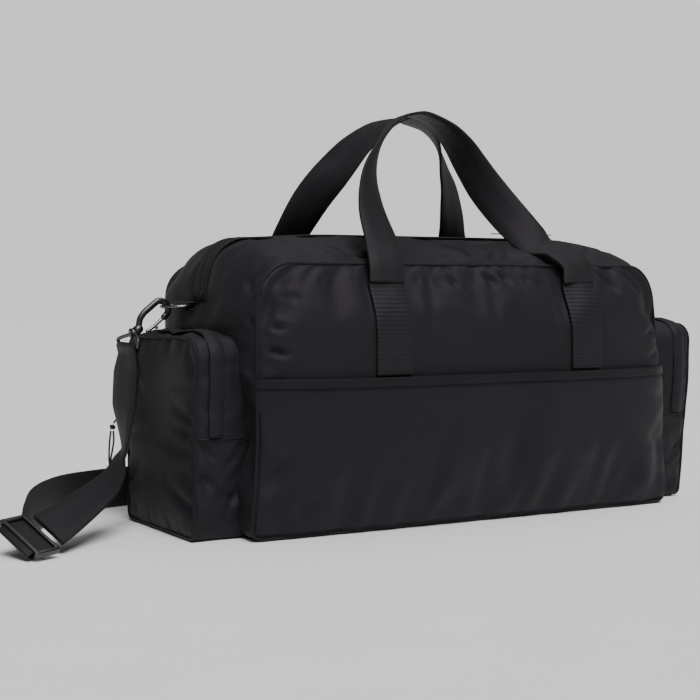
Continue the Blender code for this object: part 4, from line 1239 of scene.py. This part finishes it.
def build_strap():
    route = smooth_route(FRONT_RUN, 8)
    across = blend_directions(FRONT_TURN, len(route))
    fold, sides = fold_round(-1, -35, 215)
    ribbon("strap_adjusting_end_webbing", layer(route, across, -0.0012)[::-1] + fold
           + layer(route, across, 0.0012), across[::-1] + sides + across, STRAP_WIDTH, STRAP_THICK,
           WEBBING, "strap", "webbing", "strap_adjusting_end")
    route = smooth_route(LONG_RUN, 8)
    across = blend_directions(LONG_TURN, len(route))
    tail = [point + Vector((0.0030, 0, 0)) for point in route[-FIXED_END:]]
    rise = [point - Vector((0.0012 * min(1.0, number / 8), 0, 0))
            for number, point in enumerate(route[-FIXED_END:])]
    fold, sides = fold_round(1, 215, -35)
    ribbon("strap_long_webbing", route[:-FIXED_END] + rise + fold + tail[::-1],
           across + sides + across[-FIXED_END:][::-1], STRAP_WIDTH, STRAP_THICK, WEBBING, "strap",
           "webbing", "strap_long_run", "strap_fixed_end")
    rows = [([Vector((0.3328, y, height)) for y in between(0.016, 0.052, 6)], ALONG_X)
            for height in (0.152, 0.146)]
    stitches("strap_end_stitching", rows, "strap", pitch=0.0030, length=0.0023)
    build_adjuster()


def build_adjuster():
    ahead = (Vector(LONG_RUN[2]) - Vector(LONG_RUN[0])).normalized()
    across = square_to(Vector(LONG_TURN[0][1]), ahead)
    normal = ahead.cross(across)
    normal *= 1 if normal.z > 0 else -1
    turn = Matrix((ahead, across, normal)).transposed().to_4x4()
    reach = STRAP_WIDTH / 2 + 0.0032

    def bar(along, aside, above, size, bevel):
        bm = bmesh.new()
        bmesh.ops.create_cube(bm, size=1.0)
        bmesh.ops.scale(bm, verts=bm.verts, vec=size)
        bmesh.ops.bevel(bm, geom=list(bm.edges), offset=bevel, segments=3, affect="EDGES",
                        profile=0.5)
        centre = ADJUSTER_AT + ahead * along + across * aside + normal * above
        bmesh.ops.transform(bm, matrix=Matrix.Translation(centre) @ turn, verts=bm.verts)
        return bm

    parts = [bar(0, side * reach, 0.0002, (0.0272, 0.0046, 0.0066), 0.0016) for side in (-1, 1)]
    parts += [bar(along, 0, 0.0028, (0.0036, 2 * reach, 0.0022), 0.0009)
              for along in (0.0114, -0.0114)]
    parts.append(bar(0, 0, -0.0024, (0.0040, 2 * reach, 0.0019), 0.0008))
    add_piece("strap_adjuster_metal", merged(*parts), METAL, "adjuster", "gunmetal",
              "strap_adjuster")


# ---------------------------------------------------------------- cord pulls
def cord_curve(name, points, body, replaced):
    curve = bpy.data.curves.new(name, "CURVE")
    curve.dimensions = "3D"
    curve.bevel_depth = 0.0010
    curve.bevel_resolution = 3
    curve.use_fill_caps = True
    spline = curve.splines.new("POLY")
    spline.points.add(len(points) - 1)
    for point, target in zip(points, spline.points):
        target.co = (*point, 1.0)
    item = new_object(name, curve)
    curve.materials.append(CORD_CLOTH)
    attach(item, body)
    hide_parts(replaced)
    return item


def knot_bm(centre):
    """Overhand knot: a cord wound into a small tight ball."""
    route = []
    for i in range(72):
        t = 2 * math.pi * i / 72
        radial = 0.0016 + 0.0008 * math.cos(3 * t)
        route.append(centre + Vector((radial * math.cos(2 * t), radial * math.sin(2 * t) * 0.8,
                                      0.0016 * math.sin(3 * t))))
    return tube_bm(route, 0.0010, sides=8, closed=True)


def build_pulls():
    for side, end in ENDS:
        body, knot_node = f"pocket_slider_{end}", f"end_pocket_knot_{end}"
        eye = Vector((side * (POCKET_ZIP_X + 0.0047), POCKET_HALF + 0.0018 + 0.0030,
                      middle(f"end_pocket_slider_{end}", 2) - 0.0030))
        knot = (low(knot_node) + high(knot_node)) / 2
        lead = smooth_route([eye, eye + Vector((side * 0.010, 0.002, -0.001)),
                             knot + Vector((-side * 0.006, 0, 0.0085)),
                             knot + Vector((-side * 0.0010, 0, 0.0040))], 8)
        loop = smooth_route([knot + Vector((side * x, y, z)) for x, y, z in (
            (-0.0010, 0, -0.0040), (-0.0020, 0.002, -0.016), (0.0005, 0.003, -0.032),
            (0.0025, 0.001, -0.0395), (0.0050, -0.003, -0.032), (0.0045, -0.003, -0.016),
            (0.0018, 0, -0.0040))], 6)
        ball = add_piece(f"{knot_node}_cord", knot_bm(knot), CORD_CLOTH, body, "cord", knot_node)
        first = cord_curve(f"end_pocket_cord_{end}_lead", lead, body, f"end_pocket_cord_{end}")
        second = cord_curve(f"end_pocket_cord_{end}_loop", loop, body,
                            f"end_pocket_cord_loop_{end}")
        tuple(lead[0])
        route_length(lead)
        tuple(loop[0])
        route_length(loop)


# ---------------------------------------------------------------- carried-over nodes
def finish_kept_nodes():
    # The zip pulls take the lighter gunmetal copy: painted highlight.
    kept = {"main_zip_slider_a": METAL, "main_zip_slider_b": METAL, "main_zip_pull_a": METAL_PAINTED_HIGHLIGHT,
            "main_zip_pull_b": METAL_PAINTED_HIGHLIGHT, "end_pocket_slider_left": METAL,
            "end_pocket_slider_right": METAL, "base_board": BOARD}
    for name, material in kept.items():
        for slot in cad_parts[name].material_slots:
            slot.material = material


# ---------------------------------------------------------------- floor, light and camera
FILL_STRENGTH = 0.13
BACKDROP_STRENGTH = 0.95  # what the camera sees of the white background
CAMERA_AT = Vector((-0.8899, -1.3351, 0.2520))
CAMERA_YAW = 30.92
CAMERA_PITCH = 2.86
CAMERA_ROLL = 0.30
CAMERA_LENS = 75.8
SENSOR_WIDTH = 36.0


def build_stage():
    material, tree, shader, place = new_material("pale_floor")
    plug(tree, shader, "Base Color", noise_at(tree, place, 12.0, 3.0), grey(0.80), grey(0.84))
    shader["Roughness"].default_value = 0.75
    bm = bmesh.new()
    bmesh.ops.create_grid(bm, x_segments=2, y_segments=2, size=6.0)
    data = mesh_of(bm, "floor")
    data.materials.append(material)
    new_object("floor", data)
    world = bpy.data.worlds.new("studio")
    bpy.context.scene.world = world
    world.use_nodes = True
    tree = world.node_tree
    background = tree.nodes["Background"].inputs
    background["Color"].default_value = (1.0, 1.0, 1.0, 1.0)
    seen = tree.nodes.new("ShaderNodeLightPath").outputs["Is Camera Ray"]
    plug(tree, background, "Strength", seen, FILL_STRENGTH, BACKDROP_STRENGTH)


def soft_sun(name, come_from, spread, strength):
    light = bpy.data.lights.new(name, "SUN")
    light.angle = math.radians(spread)
    light.energy = strength
    new_object(name, light).rotation_euler = Vector(come_from).to_track_quat("Z", "Y").to_euler()


def build_camera():
    camera = bpy.data.cameras.new("camera")
    camera.lens = CAMERA_LENS
    camera.sensor_width = SENSOR_WIDTH
    item = new_object("camera", camera)
    turn = (Matrix.Rotation(math.radians(-CAMERA_YAW), 4, "Z")
            @ Matrix.Rotation(math.radians(90 - CAMERA_PITCH), 4, "X")
            @ Matrix.Rotation(math.radians(CAMERA_ROLL), 4, "Z"))
    item.matrix_world = Matrix.Translation(CAMERA_AT) @ turn
    bpy.context.scene.camera = item


build_camera()
build_pulls()
build_stage()
soft_sun("key", (-0.15, -0.80, 1.20), 34.0, 3.7)
soft_sun("top", (0.45, 0.30, 1.60), 50.0, 0.6)
shell = build_body()
build_body_piping()
build_front_pocket(shell)
build_legs(shell)
build_main_zip()
for side, end in ENDS:
    build_pocket(side, end)
    build_ring(side, end)
    build_hook(side, end)
build_handle(-1, "front", 0.0)
build_handle(1, "back", 0.013)
build_strap()
finish_kept_nodes()
